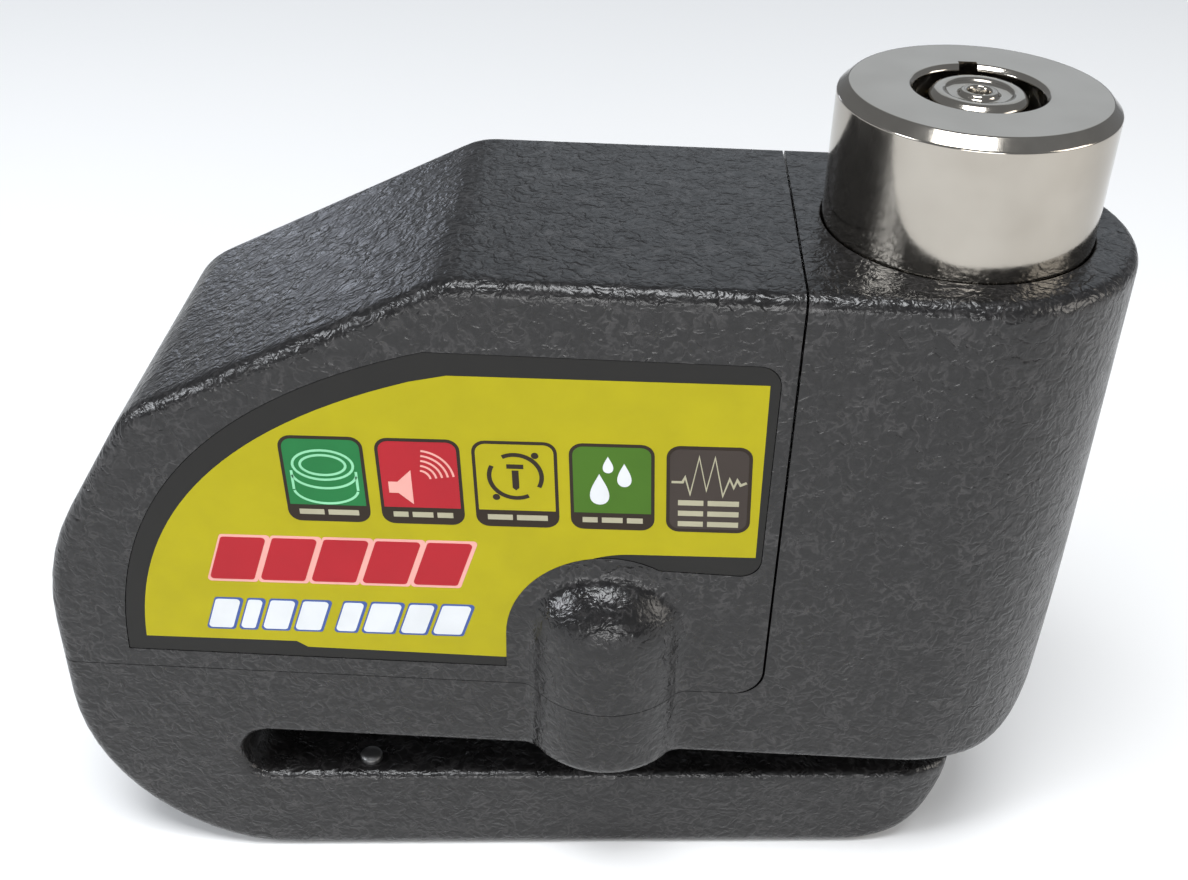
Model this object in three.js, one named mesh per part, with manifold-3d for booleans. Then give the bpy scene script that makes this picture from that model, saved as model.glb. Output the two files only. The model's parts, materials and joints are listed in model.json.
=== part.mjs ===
// Disc brake lock with an alarm: a die-cast body with a disc slot, a push barrel that drives a
// hardened pin across the slot, and a screwed-on cover that holds the siren, board and cells.
// Millimetres. +X runs along the lock towards the barrel, the label faces -Y, +Z is up.
// The origin is at the middle of the footprint, on the surface that the lower jaw stands on.

import * as THREE from 'three';
import { mergeVertices } from 'three/addons/utils/BufferGeometryUtils.js';
import Module from 'manifold-3d';

const wasm = await Module();
wasm.setup();

// ---------------------------------------------------------------- driving dimensions

const LENGTH = 103.8;
const DEPTH = 33.4;
const BODY_TOP = 72.5;
const BOSS_PROUD = 4.2;
const GAP = 0.3; // clearance left between pieces that touch on the real lock

const LEFT = -LENGTH / 2;
const RIGHT = LENGTH / 2;
const FRONT = BOSS_PROUD - (DEPTH + BOSS_PROUD) / 2;
const BACK = FRONT + DEPTH;
const MID_Y = (FRONT + BACK) / 2;
const END_RADIUS = DEPTH / 2; // the barrel end is a full round in plan
const LOCK_X = RIGHT - END_RADIUS; // the barrel, pin and plug share this axis
const EDGE_BEVEL = 1.6;
const LEFT_CORNER = 3.5;

const SLOT_FLOOR = 11.4;
const SLOT_ROOF = 18.1;
const SLOT_END = LEFT + 17.5;
const JAW_TIP = LOCK_X + 7.2;
const JAW_TAPER = 0.07; // the jaw narrows by this much each side for each mm towards its tip
const JAW_TIP_CORNER = 7;

const SEAM_X = LOCK_X - 15;
const SEAM_Z = 26.9;
const SEAM_CORNER = 3;
const WALL = 2.5;
const SHOULDER = [-40.5, 57.2];
const TOP_BEND = [-10.4, 72.5];
const STEEP_FOOT_Z = 38.2;

const BOSS_X = LOCK_X - 31.1;
const BOSS_RADIUS = 8.85;
const BOSS_Y = FRONT - BOSS_PROUD + BOSS_RADIUS;
const BOSS_DOME_Z = 34.6;
const BOSS_DOME_RISE = 7.5;
const BOSS_FOOT_ROUND = 1.6;

// The cover screw comes up through the strip under the boss, into a pad inside the cover.
const SCREW_Y = FRONT + 1;
const SCREW_HEAD_FOOT = SLOT_ROOF + 0.4;
const SCREW_HEAD_RADIUS = 3.5;
const SCREW_SHANK_RADIUS = 2;
const SCREW_SEAT = SCREW_HEAD_FOOT + 4.2;
const SCREW_TIP = 37;
const PAD_HALF = 5;
const PAD_BACK = SCREW_Y + 4.2;
const PAD_TOP = 41;

const GASKET_FOOT = SEAM_Z + 0.15;
const GASKET_THICK = 1.5;
const GASKET_BAND = 1.4;

// The low round-headed stud in the slot floor, near the end of the slot.
const STUD_X = LOCK_X - 56.5;
const STUD_Y = FRONT + 3.6;
const STUD_RADIUS = 1.2;
const STUD_HEIGHT = 0.9;
const STUD_ROOT = 2.2; // how deep it is set in the slot floor

const LABEL_BOTTOM = 29.4;
const LABEL_TOP = 65.4;
const LABEL_STEP = 42.4; // where the label steps out over the boss
const LABEL_LEFT = -44.2;
const LABEL_RIGHT = LOCK_X - 16.8;
const LABEL_RECESS = 0.55;

const BARREL_RADIUS = 12.5;
const BARREL_TOP = 85.5;
const BARREL_FOOT = 57;
const BARREL_CHAMFER = 1;
const KEYWAY_LIP = 0.4;
const KEYWAY_NOTCH = 1; // how far the key's notch runs out from the keyway
const TRAVEL = 12; // how far the barrel is pushed down to lock
const BORE_RADIUS = 12.8;
const BORE_FLOOR = 24;
const SEAL_FOOT = 68.4; // the barrel's wiper ring sits in a groove inside the bore
const SEAL_TOP = 70.4;
const SEAL_RADIUS = 13.9;
const KEYWAY_RADIUS = 5.8;
const SLEEVE_RADIUS = 7.5;
const SLEEVE_FOOT = 66.3;
const SLEEVE_TOP = 82.2;
const POST_RADIUS = 4.5;
const POST_TOP = 85.3;
const FLANGE_RADIUS = 6.2;
const FLANGE_FOOT = 70;
const FLANGE_TOP = 77;
const CORE_FOOT = 57.2;
const CORE_RADIUS = 3.5;
const RETAINER_FOOT = 66.5;
const TUMBLERS = 7;
const TUMBLER_CIRCLE = 5.15;
const TUMBLER_RADIUS = 0.48;
const TUMBLER_TOP = 81.2;

const CARRIER_FOOT = 45.5;
const CARRIER_RADIUS = 12.2;
const CARRIER_SCREWS = [
  [LOCK_X - 6.8, MID_Y + 7.4],
  [LOCK_X + 6.8, MID_Y + 7.4],
];
const CARRIER_SCREW_RADIUS = 1.25;
const CARRIER_SCREW_HEAD = 2.3;
const CARRIER_SCREW_TIP = 61.2;
const BOLT_FOOT = 49;
const BOLT_HEIGHT = 5;
const BOLT_WIDTH = 7;
const BOLT_TRAVEL = 1.9;
const CAM_OFFSET = BOLT_TRAVEL / 2; // the cam pin sits this far off the axis in both X and Y at rest
const CAM_RADIUS = 1.2;

const PIN_RADIUS = 3.5; // the 7 mm lock pin
const PIN_TIP = 19;
const PIN_NECK = 2; // the neck that the cross dowel holds in the carrier
const DOWEL_Z = CARRIER_FOOT + 1.3;
const DOWEL_RADIUS = 0.6;
const GUIDE_Y = MID_Y - 9.5; // the rod that stops the barrel from turning
const GUIDE_RADIUS = 1.5;
const GUIDE_FOOT = 20.3;
const GUIDE_TOP = 48.5;
const BUSH_RADIUS = 5.5;
const PLUNGER_Z = 58.8;
const PLUNGER_RADIUS = 1.3;
const RAMP_SLOPE = 0.1; // the barrel's flank pushes the switch plunger 0.1 mm for each mm of travel
const RAMP_DEPTH = 1.6; // depth of the ramp at the plunger while the barrel is up

const CELL_RADIUS = 5.8;
const CELL_HEIGHT = 5.4;
const CELLS_PER_STACK = 3;
const CELL_PITCH = CELL_HEIGHT + 0.2;
const STACK_X = [-40, -26.8];
const STACK_Z = 36.2;
const STACK_Y0 = MID_Y - 1.5 * CELL_HEIGHT - GAP;

const BOARD_FACE_Y = -5.9;
const BOARD_THICK = 1.6;
const BOARD_LEFT = -13.5;
const BOARD_RIGHT = 17.5;
const BOARD_FOOT = 30;
const BOARD_TOP = 65;
const BOARD_POSTS = [
  [-9.5, 61],
  [15, 61],
];
const POST_SIZE = 2.6;
const POST_HOLE = 1.3;

const SIREN_X = 3;
const SIREN_Z = 50;
const SIREN_BACK = BACK - WALL - GAP;
const SOUND_HOLES = 6;
const SOUND_CIRCLE = 5.5;
const SOUND_HOLE_RADIUS = 1;

// ---------------------------------------------------------------- materials

function paint(color, roughness, metalness) {
  return new THREE.MeshStandardMaterial({ color, roughness, metalness });
}

const hammered = paint(0x34363a, 0.45, 0.35);
const polished = paint(0xc9c7c2, 0.15, 1.0);
const steel = paint(0x9a9a98, 0.35, 1.0);
const hardened = paint(0x6f7072, 0.4, 1.0);
const brass = paint(0xb8974e, 0.35, 1.0);
const rubber = paint(0x18181a, 0.8, 0.0);
const blackPlastic = paint(0x1e1f21, 0.55, 0.0);
const boardGreen = paint(0x1f5d38, 0.5, 0.0);
const ceramic = paint(0xd9cfb4, 0.5, 0.2);
const labelInk = paint(0xc3be33, 0.35, 0.0);
const copper = paint(0xa9632f, 0.4, 0.9);

// ---------------------------------------------------------------- helpers

// A closed solid from a three.js geometry.
function solid(geometry) {
  const bare = geometry.index ? geometry.toNonIndexed() : geometry.clone();
  bare.deleteAttribute('normal');
  bare.deleteAttribute('uv');
  const merged = mergeVertices(bare, 1e-4);
  const vertProperties = new Float32Array(merged.attributes.position.array);
  const triVerts = new Uint32Array(merged.index.array);
  return new wasm.Manifold(new wasm.Mesh({ numProp: 3, vertProperties, triVerts }));
}

// A BufferGeometry from a closed solid.
function geometryOf(body) {
  const mesh = body.getMesh();
  const geometry = new THREE.BufferGeometry();
  geometry.setAttribute('position', new THREE.BufferAttribute(new Float32Array(mesh.vertProperties), 3));
  geometry.setIndex(new THREE.BufferAttribute(new Uint32Array(mesh.triVerts), 1));
  geometry.computeVertexNormals();
  return geometry;
}

function joined(...bodies) {
  return bodies.reduce((sum, body) => sum.add(body));
}

function cut(body, ...tools) {
  return tools.reduce((left, tool) => left.subtract(tool), body);
}

// A closed outline through corners given as [x, y, radius], each turned with an arc.
function roundedShape(corners) {
  const shape = new THREE.Shape();
  const count = corners.length;
  for (let i = 0; i < count; i += 1) {
    const [x, y, radius] = corners[i];
    const here = new THREE.Vector2(x, y);
    const before = new THREE.Vector2(...corners[(i + count - 1) % count].slice(0, 2)).sub(here).normalize();
    const after = new THREE.Vector2(...corners[(i + 1) % count].slice(0, 2)).sub(here).normalize();
    const half = Math.acos(THREE.MathUtils.clamp(before.dot(after), -1, 1)) / 2;
    const reach = radius / Math.tan(half);
    const start = here.clone().addScaledVector(before, reach);
    const end = here.clone().addScaledVector(after, reach);
    if (radius === 0) {
      if (i === 0) shape.moveTo(x, y);
      else shape.lineTo(x, y);
      continue;
    }
    if (i === 0) shape.moveTo(start.x, start.y);
    else shape.lineTo(start.x, start.y);
    const middle = before.clone().add(after).normalize();
    const centre = here.clone().addScaledVector(middle, radius / Math.sin(half));
    const from = Math.atan2(start.y - centre.y, start.x - centre.x);
    const to = Math.atan2(end.y - centre.y, end.x - centre.x);
    const turn = Math.atan2(Math.sin(to - from), Math.cos(to - from));
    const steps = Math.max(2, Math.ceil(Math.abs(turn) / 0.35));
    for (let k = 1; k <= steps; k += 1) {
      const angle = from + (turn * k) / steps;
      shape.lineTo(centre.x + radius * Math.cos(angle), centre.y + radius * Math.sin(angle));
    }
  }
  return shape;
}

// An X-Z outline as a plate from y0 to y1, with its edges bevelled inwards.
function plateXZ(shape, y0, y1, bevel = 0) {
  const geometry = new THREE.ExtrudeGeometry(shape, {
    depth: y1 - y0 - 2 * bevel,
    bevelEnabled: bevel > 0,
    bevelSize: bevel,
    bevelThickness: bevel,
    bevelOffset: -bevel,
    bevelSegments: 2,
    curveSegments: 12,
  });
  geometry.translate(0, 0, bevel);
  geometry.rotateX(Math.PI / 2);
  geometry.translate(0, y1, 0);
  return solid(geometry);
}

// An X-Y outline as a prism from z0 to z1.
function prismXY(shape, z0, z1) {
  const geometry = new THREE.ExtrudeGeometry(shape, {
    depth: z1 - z0,
    bevelEnabled: false,
    curveSegments: 18,
  });
  geometry.translate(0, 0, z0);
  return solid(geometry);
}

function box(x0, x1, y0, y1, z0, z1) {
  const geometry = new THREE.BoxGeometry(x1 - x0, y1 - y0, z1 - z0);
  geometry.translate((x0 + x1) / 2, (y0 + y1) / 2, (z0 + z1) / 2);
  return solid(geometry);
}

// A round bar of a given radius between two heights, standing at x, y.
function bar(x, y, z0, z1, radius, sides = 28) {
  const geometry = new THREE.CylinderGeometry(radius, radius, z1 - z0, sides);
  geometry.rotateX(Math.PI / 2);
  geometry.translate(x, y, (z0 + z1) / 2);
  return solid(geometry);
}

// A round bar lying along X.
function barX(x0, x1, y, z, radius, sides = 24) {
  const geometry = new THREE.CylinderGeometry(radius, radius, x1 - x0, sides);
  geometry.rotateZ(Math.PI / 2);
  geometry.translate((x0 + x1) / 2, y, z);
  return solid(geometry);
}

// A round bar lying along Y.
function barY(x, y0, y1, z, radius, sides = 24) {
  const geometry = new THREE.CylinderGeometry(radius, radius, y1 - y0, sides);
  geometry.translate(x, (y0 + y1) / 2, z);
  return solid(geometry);
}

// A turned piece about the vertical line at x, y, from a profile of [radius, z] points.
function turned(x, y, profile, sides = 28) {
  const points = profile.map(([radius, z]) => new THREE.Vector2(radius, z));
  const geometry = new THREE.LatheGeometry(points, sides);
  geometry.rotateX(Math.PI / 2);
  geometry.translate(x, y, 0);
  return solid(geometry);
}

// A hexagonal socket pointing down from z1 to z0 at x, y.
function hexSocket(x, y, z0, z1, acrossFlats) {
  const radius = acrossFlats / Math.sqrt(3);
  const geometry = new THREE.CylinderGeometry(radius, radius, z1 - z0, 6);
  geometry.rotateX(Math.PI / 2);
  geometry.translate(x, y, (z0 + z1) / 2);
  return solid(geometry);
}

class Helix extends THREE.Curve {
  constructor(radius, rise, turns) {
    super();
    this.radius = radius;
    this.rise = rise;
    this.turns = turns;
  }

  getPoint(t, target = new THREE.Vector3()) {
    const angle = 2 * Math.PI * this.turns * t;
    return target.set(this.radius * Math.cos(angle), this.radius * Math.sin(angle), this.rise * t);
  }
}

// A coil spring from the origin up +Z, as plain geometry.
function coil(radius, rise, turns, wire, stepsPerTurn = 10) {
  const section = new THREE.Shape();
  section.absarc(0, 0, wire, 0, 2 * Math.PI);
  return new THREE.ExtrudeGeometry(section, {
    steps: Math.round(turns * stepsPerTurn),
    curveSegments: 2,
    bevelEnabled: false,
    extrudePath: new Helix(radius, rise, turns),
  });
}

const group = new THREE.Group();

function add(name, body, material) {
  const geometry = body.isBufferGeometry ? body : geometryOf(body);
  const mesh = new THREE.Mesh(geometry, material);
  mesh.name = name;
  group.add(mesh);
}

// ---------------------------------------------------------------- the casting's outer shape

// The side outline, with the disc slot, moved inwards by an inset on the cover's side.
function sideShape(inset = 0) {
  const slopeLift = inset * 0.24;
  return roundedShape([
    [LEFT + inset, 0, 20.5 - inset],
    [JAW_TIP, 0, 8],
    [JAW_TIP, SLOT_FLOOR, 0],
    [SLOT_END, SLOT_FLOOR, 3.3],
    [SLOT_END, SLOT_ROOF, 3.3],
    [RIGHT, SLOT_ROOF, 5],
    [RIGHT, BODY_TOP - inset, 0],
    [TOP_BEND[0] + slopeLift, BODY_TOP - inset, 10],
    [SHOULDER[0] + inset, SHOULDER[1] - inset * 0.6, 8],
    [LEFT + inset, STEEP_FOOT_Z, 30],
  ]);
}

// The plan of the upper body: square on the left with turned corners, a full round at the barrel.
function upperPlan(inset = 0) {
  const shape = new THREE.Shape();
  const corner = LEFT_CORNER - inset;
  const reach = END_RADIUS - inset;
  shape.moveTo(LOCK_X, FRONT + inset);
  shape.absarc(LOCK_X, MID_Y, reach, -Math.PI / 2, Math.PI / 2);
  shape.lineTo(LEFT + inset + corner, BACK - inset);
  shape.absarc(LEFT + inset + corner, BACK - inset - corner, corner, Math.PI / 2, Math.PI);
  shape.absarc(LEFT + inset + corner, FRONT + inset + corner, corner, Math.PI, 1.5 * Math.PI);
  shape.closePath();
  return shape;
}

// The plan of the lower jaw: it tapers from the end of the slot to a blunt round tip.
function jawPlan() {
  const recess = JAW_TAPER * (JAW_TIP - SLOT_END);
  return roundedShape([
    [LEFT, FRONT, LEFT_CORNER],
    [SLOT_END, FRONT, 0],
    [JAW_TIP, FRONT + recess, JAW_TIP_CORNER],
    [JAW_TIP, BACK - recess, JAW_TIP_CORNER],
    [SLOT_END, BACK, 0],
    [LEFT, BACK, LEFT_CORNER],
  ]);
}

function bossSolid() {
  const profile = [
    [0, SLOT_ROOF],
    [BOSS_RADIUS - BOSS_FOOT_ROUND, SLOT_ROOF],
    [BOSS_RADIUS - BOSS_FOOT_ROUND * 0.3, SLOT_ROOF + BOSS_FOOT_ROUND * 0.3],
    [BOSS_RADIUS, SLOT_ROOF + BOSS_FOOT_ROUND],
  ];
  const domeSteps = 6;
  for (let k = 0; k < domeSteps; k += 1) {
    const angle = (k / domeSteps) * (Math.PI / 2);
    profile.push([BOSS_RADIUS * Math.cos(angle), BOSS_DOME_Z + BOSS_DOME_RISE * Math.sin(angle)]);
  }
  profile.push([0, BOSS_DOME_Z + BOSS_DOME_RISE]);
  const whole = turned(BOSS_X, BOSS_Y, profile, 36);
  return whole.intersect(box(BOSS_X - 20, BOSS_X + 20, FRONT - 10, FRONT + WALL - 0.5, 0, 60));
}

function castingEnvelope() {
  const slab = plateXZ(sideShape(), FRONT, BACK, EDGE_BEVEL);
  const midSlot = (SLOT_FLOOR + SLOT_ROOF) / 2;
  const upper = slab.intersect(prismXY(upperPlan(), midSlot, BODY_TOP + 5));
  const lower = slab.intersect(prismXY(jawPlan(), -5, midSlot));
  return joined(upper, lower, bossSolid());
}

// The space that the cover takes: left of the column and above the strip.
function coverSpace(back) {
  const far = -80;
  return plateXZ(
    roundedShape([
      [far, SEAM_Z + back, 0],
      [SEAM_X - back, SEAM_Z + back, SEAM_CORNER],
      [SEAM_X - back, 100, 0],
      [far, 100, 0],
    ]),
    -40,
    40,
  );
}

// ---------------------------------------------------------------- body and cover

function mainBody(envelope) {
  const shell = cut(envelope, coverSpace(0));
  const pocketWidth = BOLT_WIDTH + 2 * GAP;
  const pockets = [0, -TRAVEL].map((drop) =>
    box(
      LOCK_X,
      LOCK_X + BORE_RADIUS + BOLT_TRAVEL,
      MID_Y - pocketWidth / 2 - GAP,
      MID_Y + pocketWidth / 2 + GAP,
      BOLT_FOOT + drop - GAP,
      BOLT_FOOT + drop + BOLT_HEIGHT + GAP,
    ),
  );
  return cut(
    shell,
    bar(LOCK_X, MID_Y, BORE_FLOOR, BODY_TOP + 5, BORE_RADIUS, 44),
    bar(LOCK_X, MID_Y, SEAL_FOOT - GAP, SEAL_TOP + GAP, SEAL_RADIUS + GAP, 44),
    bar(LOCK_X, MID_Y, SLOT_ROOF - 1, BORE_FLOOR + 1, BUSH_RADIUS + GAP),
    bar(LOCK_X, MID_Y, 5.2, SLOT_FLOOR + 1, BUSH_RADIUS + GAP),
    bar(LOCK_X, GUIDE_Y, GUIDE_FOOT - GAP, BORE_FLOOR + 1, GUIDE_RADIUS + GAP, 20),
    ...pockets,
    barX(SEAM_X - 2, LOCK_X - BORE_RADIUS + 3, MID_Y, PLUNGER_Z, PLUNGER_RADIUS + 0.5),
    bar(BOSS_X, SCREW_Y, SLOT_ROOF - 2, SCREW_SEAT + 0.1, SCREW_HEAD_RADIUS + GAP, 28),
    bar(BOSS_X, SCREW_Y, SLOT_ROOF, SEAM_Z + 2, SCREW_SHANK_RADIUS + GAP, 24),
    bar(STUD_X, STUD_Y, SLOT_FLOOR - STUD_ROOT - GAP, SLOT_FLOOR + 1, STUD_RADIUS + GAP, 20),
  );
}

// The smooth recess for the label, and the label itself, share this outline.
function labelShape(grow) {
  const shape = new THREE.Shape();
  const bottom = LABEL_BOTTOM - grow;
  const top = LABEL_TOP + grow;
  const right = LABEL_RIGHT + grow;
  const step = LABEL_STEP - grow;
  const arch = BOSS_RADIUS + 1.4 - grow;
  const cornerRadius = 2;
  const archEdge = BOSS_X - arch;
  shape.moveTo(LABEL_LEFT - grow, bottom);
  shape.lineTo(archEdge, bottom);
  shape.lineTo(archEdge, BOSS_DOME_Z - 1);
  shape.absarc(BOSS_X, BOSS_DOME_Z - 1, arch, Math.PI, 1.06 + grow * 0.02, true);
  shape.lineTo(right - cornerRadius, step);
  shape.absarc(right - cornerRadius, step + cornerRadius, cornerRadius, -Math.PI / 2, 0);
  shape.lineTo(right, top - cornerRadius);
  shape.absarc(right - cornerRadius, top - cornerRadius, cornerRadius, 0, Math.PI / 2);
  shape.lineTo(-13, top);
  shape.bezierCurveTo(-35 - grow, 59.2 + grow, -44 - grow, 46, LABEL_LEFT - grow, bottom);
  return shape;
}

function alarmCover(envelope) {
  const outer = envelope.intersect(coverSpace(GAP));
  const slab = plateXZ(sideShape(WALL), FRONT + WALL, BACK - WALL, 0);
  const hollow = slab.intersect(prismXY(upperPlan(WALL), SEAM_Z - 8, BODY_TOP - WALL));
  const screwPad = box(
    BOSS_X - PAD_HALF,
    BOSS_X + PAD_HALF,
    FRONT + WALL - 1,
    PAD_BACK,
    SEAM_Z + GAP,
    PAD_TOP,
  );
  const postFace = BOARD_FACE_Y - BOARD_THICK - GAP;
  const posts = BOARD_POSTS.map(([x, z]) => barY(x, FRONT + WALL - 0.5, postFace, z, POST_SIZE));
  const postHoles = BOARD_POSTS.map(([x, z]) => barY(x, FRONT + WALL, BOARD_FACE_Y, z, POST_HOLE, 16));
  const holes = soundHoles().map(([x, z]) => barY(x, BACK - WALL - 1, BACK + 1, z, SOUND_HOLE_RADIUS, 16));
  const label = plateXZ(labelShape(0.25), FRONT - 1, FRONT + LABEL_RECESS);
  const open = box(SEAM_X - 8, SEAM_X + 1, FRONT + WALL, BACK - WALL, SEAM_Z - 2, BODY_TOP - WALL);
  const shell = cut(outer, hollow, open);
  return cut(
    joined(shell, screwPad, ...posts),
    ...postHoles,
    ...holes,
    label,
    bar(BOSS_X, SCREW_Y, SEAM_Z - 1, SCREW_TIP + 0.5, SCREW_SHANK_RADIUS + GAP, 24),
  );
}

// One hole in the middle and a ring of six, in front of the siren.
function soundHoles() {
  const places = [[SIREN_X, SIREN_Z]];
  for (let k = 0; k < SOUND_HOLES; k += 1) {
    const angle = (k / SOUND_HOLES) * 2 * Math.PI;
    places.push([SIREN_X + SOUND_CIRCLE * Math.cos(angle), SIREN_Z + SOUND_CIRCLE * Math.sin(angle)]);
  }
  return places;
}

// A flat ring inside the cover's rim, stepped round the screw pad.
function gasket() {
  const y0 = FRONT + WALL + GAP;
  const y1 = BACK - WALL - GAP;
  const x0 = LEFT + WALL + GAP;
  const x1 = SEAM_X - SEAM_CORNER - 0.5;
  const outerCorner = 3;
  const innerCorner = outerCorner - GASKET_BAND + 0.2;
  const outerRing = roundedShape([[x0, y0, outerCorner], [x1, y0, 1], [x1, y1, 1], [x0, y1, outerCorner]]);
  const innerRing = roundedShape([
    [x0 + GASKET_BAND, y0 + GASKET_BAND, innerCorner],
    [x1 - GASKET_BAND, y0 + GASKET_BAND, 0.6],
    [x1 - GASKET_BAND, y1 - GASKET_BAND, 0.6],
    [x0 + GASKET_BAND, y1 - GASKET_BAND, innerCorner],
  ]);
  const top = GASKET_FOOT + GASKET_THICK;
  const clear = PAD_HALF + GAP;
  const half = clear + GASKET_BAND;
  const back = PAD_BACK + GAP + GASKET_BAND;
  const ring = cut(prismXY(outerRing, GASKET_FOOT, top), prismXY(innerRing, SEAM_Z, top + 1));
  const around = box(BOSS_X - half, BOSS_X + half, y0, back, GASKET_FOOT, top);
  const pad = box(BOSS_X - clear, BOSS_X + clear, y0 - 1, PAD_BACK + GAP, SEAM_Z, top + 1);
  return cut(joined(ring, around), pad);
}

const envelope = castingEnvelope();
add('main_body', mainBody(envelope), hammered);
add('alarm_cover', alarmCover(envelope), hammered);
add('label_sticker', plateXZ(labelShape(0), FRONT + 0.05, FRONT + 0.4), labelInk);
add('cover_gasket', gasket(), rubber);

// ---------------------------------------------------------------- cover screw in the boss

function coverScrew() {
  const headTop = SCREW_HEAD_FOOT + 3.4;
  const profile = [
    [0, SCREW_HEAD_FOOT],
    [SCREW_HEAD_RADIUS - 0.3, SCREW_HEAD_FOOT],
    [SCREW_HEAD_RADIUS, SCREW_HEAD_FOOT + 0.3],
    [SCREW_HEAD_RADIUS, headTop],
    [SCREW_SHANK_RADIUS, headTop],
    [SCREW_SHANK_RADIUS, SCREW_TIP - 0.8],
    [SCREW_SHANK_RADIUS - 0.6, SCREW_TIP],
    [0, SCREW_TIP],
  ];
  const socketDepth = 1.8;
  const socket = hexSocket(BOSS_X, SCREW_Y, SCREW_HEAD_FOOT - 1, SCREW_HEAD_FOOT + socketDepth, 3);
  return cut(turned(BOSS_X, SCREW_Y, profile, 28), socket);
}

// The flat washer that keeps water out of the screw's hole.
function screwSeal() {
  const inner = SCREW_SHANK_RADIUS + 0.25;
  const foot = SCREW_SEAT - 0.7;
  const top = SCREW_SEAT - 0.2;
  const profile = [
    [inner, foot],
    [SCREW_HEAD_RADIUS, foot],
    [SCREW_HEAD_RADIUS, top],
    [inner, top],
    [inner, foot],
  ];
  return turned(BOSS_X, SCREW_Y, profile, 28);
}

add('cover_screw', coverScrew(), steel);
add('screw_seal', screwSeal(), rubber);

// ---------------------------------------------------------------- barrel and plug

function lockBarrel() {
  const profile = [
    [SLEEVE_RADIUS + GAP, BARREL_FOOT],
    [BARREL_RADIUS, BARREL_FOOT],
    [BARREL_RADIUS, BARREL_TOP - BARREL_CHAMFER],
    [BARREL_RADIUS - BARREL_CHAMFER, BARREL_TOP],
    [KEYWAY_RADIUS + KEYWAY_LIP, BARREL_TOP],
    [KEYWAY_RADIUS, BARREL_TOP - KEYWAY_LIP],
    [KEYWAY_RADIUS, SLEEVE_TOP + GAP],
    [SLEEVE_RADIUS + GAP, SLEEVE_TOP + GAP],
    [SLEEVE_RADIUS + GAP, BARREL_FOOT],
  ];
  const flank = LOCK_X - BARREL_RADIUS;
  const rampTop = BODY_TOP - 0.6;
  const screwReach = 62;
  const notchHalf = 0.85;
  const depthAt = (z) => RAMP_DEPTH - RAMP_SLOPE * (z - PLUNGER_Z);
  const ramp = new THREE.Shape();
  ramp.moveTo(flank - 2, BARREL_FOOT - 1);
  ramp.lineTo(flank + depthAt(BARREL_FOOT - 1), BARREL_FOOT - 1);
  ramp.lineTo(flank + depthAt(rampTop), rampTop);
  ramp.lineTo(flank - 2, rampTop);
  ramp.closePath();
  return cut(
    turned(LOCK_X, MID_Y, profile, 48),
    plateXZ(ramp, MID_Y - 3, MID_Y + 3),
    box(
      LOCK_X - notchHalf,
      LOCK_X + notchHalf,
      MID_Y + 3,
      MID_Y + KEYWAY_RADIUS + KEYWAY_NOTCH,
      SLEEVE_TOP + GAP,
      BARREL_TOP + 1,
    ),
    bar(LOCK_X, GUIDE_Y, BARREL_FOOT - 1, screwReach, GUIDE_RADIUS + 2 * GAP, 20),
    ...CARRIER_SCREWS.map(([x, y]) => bar(x, y, BARREL_FOOT - 1, screwReach, CARRIER_SCREW_RADIUS + GAP, 16)),
  );
}

function lockSleeve() {
  const profile = [
    [FLANGE_RADIUS + GAP, SLEEVE_FOOT],
    [SLEEVE_RADIUS, SLEEVE_FOOT],
    [SLEEVE_RADIUS, SLEEVE_TOP],
    [KEYWAY_RADIUS, SLEEVE_TOP],
    [KEYWAY_RADIUS, FLANGE_TOP + GAP],
    [FLANGE_RADIUS + GAP, FLANGE_TOP + GAP],
    [FLANGE_RADIUS + GAP, SLEEVE_FOOT],
  ];
  return turned(LOCK_X, MID_Y, profile);
}

function plugSpindle() {
  const dimpleDepth = 1.6;
  const profile = [
    [0, CORE_FOOT],
    [CORE_RADIUS, CORE_FOOT],
    [CORE_RADIUS, FLANGE_FOOT],
    [FLANGE_RADIUS, FLANGE_FOOT],
    [FLANGE_RADIUS, FLANGE_TOP],
    [POST_RADIUS, FLANGE_TOP],
    [POST_RADIUS, POST_TOP - 0.5],
    [POST_RADIUS - 0.5, POST_TOP],
    [1.1, POST_TOP],
    [0.9, POST_TOP - dimpleDepth],
    [0, POST_TOP - dimpleDepth],
  ];
  const cam = bar(LOCK_X - CAM_OFFSET, MID_Y - CAM_OFFSET, BOLT_FOOT + 0.4, CORE_FOOT + 1, CAM_RADIUS, 20);
  const holeRadius = TUMBLER_RADIUS + 0.1;
  const holeFoot = FLANGE_TOP - 3 - GAP;
  const tumblerHoles = tumblerPlaces().map(([x, y]) => bar(x, y, holeFoot, FLANGE_TOP + 1, holeRadius, 12));
  return cut(joined(turned(LOCK_X, MID_Y, profile), cam), ...tumblerHoles);
}

function plugRetainer() {
  const inner = CORE_RADIUS + GAP;
  const top = FLANGE_FOOT - 0.4;
  return turned(LOCK_X, MID_Y, [
    [inner, RETAINER_FOOT],
    [FLANGE_RADIUS, RETAINER_FOOT],
    [FLANGE_RADIUS, top],
    [inner, top],
    [inner, RETAINER_FOOT],
  ]);
}

function tumblerPlaces() {
  const places = [];
  for (let k = 0; k < TUMBLERS; k += 1) {
    const angle = ((k + 0.5) / TUMBLERS) * 2 * Math.PI + Math.PI / 2;
    places.push([LOCK_X + TUMBLER_CIRCLE * Math.cos(angle), MID_Y + TUMBLER_CIRCLE * Math.sin(angle)]);
  }
  return places;
}

add('lock_barrel', lockBarrel(), polished);
add('lock_sleeve', lockSleeve(), steel);
add('plug_spindle', plugSpindle(), polished);
add('plug_retainer', plugRetainer(), steel);
tumblerPlaces().forEach(([x, y], k) => {
  add(`tumbler_pin_${k + 1}`, bar(x, y, FLANGE_TOP - 3, TUMBLER_TOP, TUMBLER_RADIUS, 12), brass);
});

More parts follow.
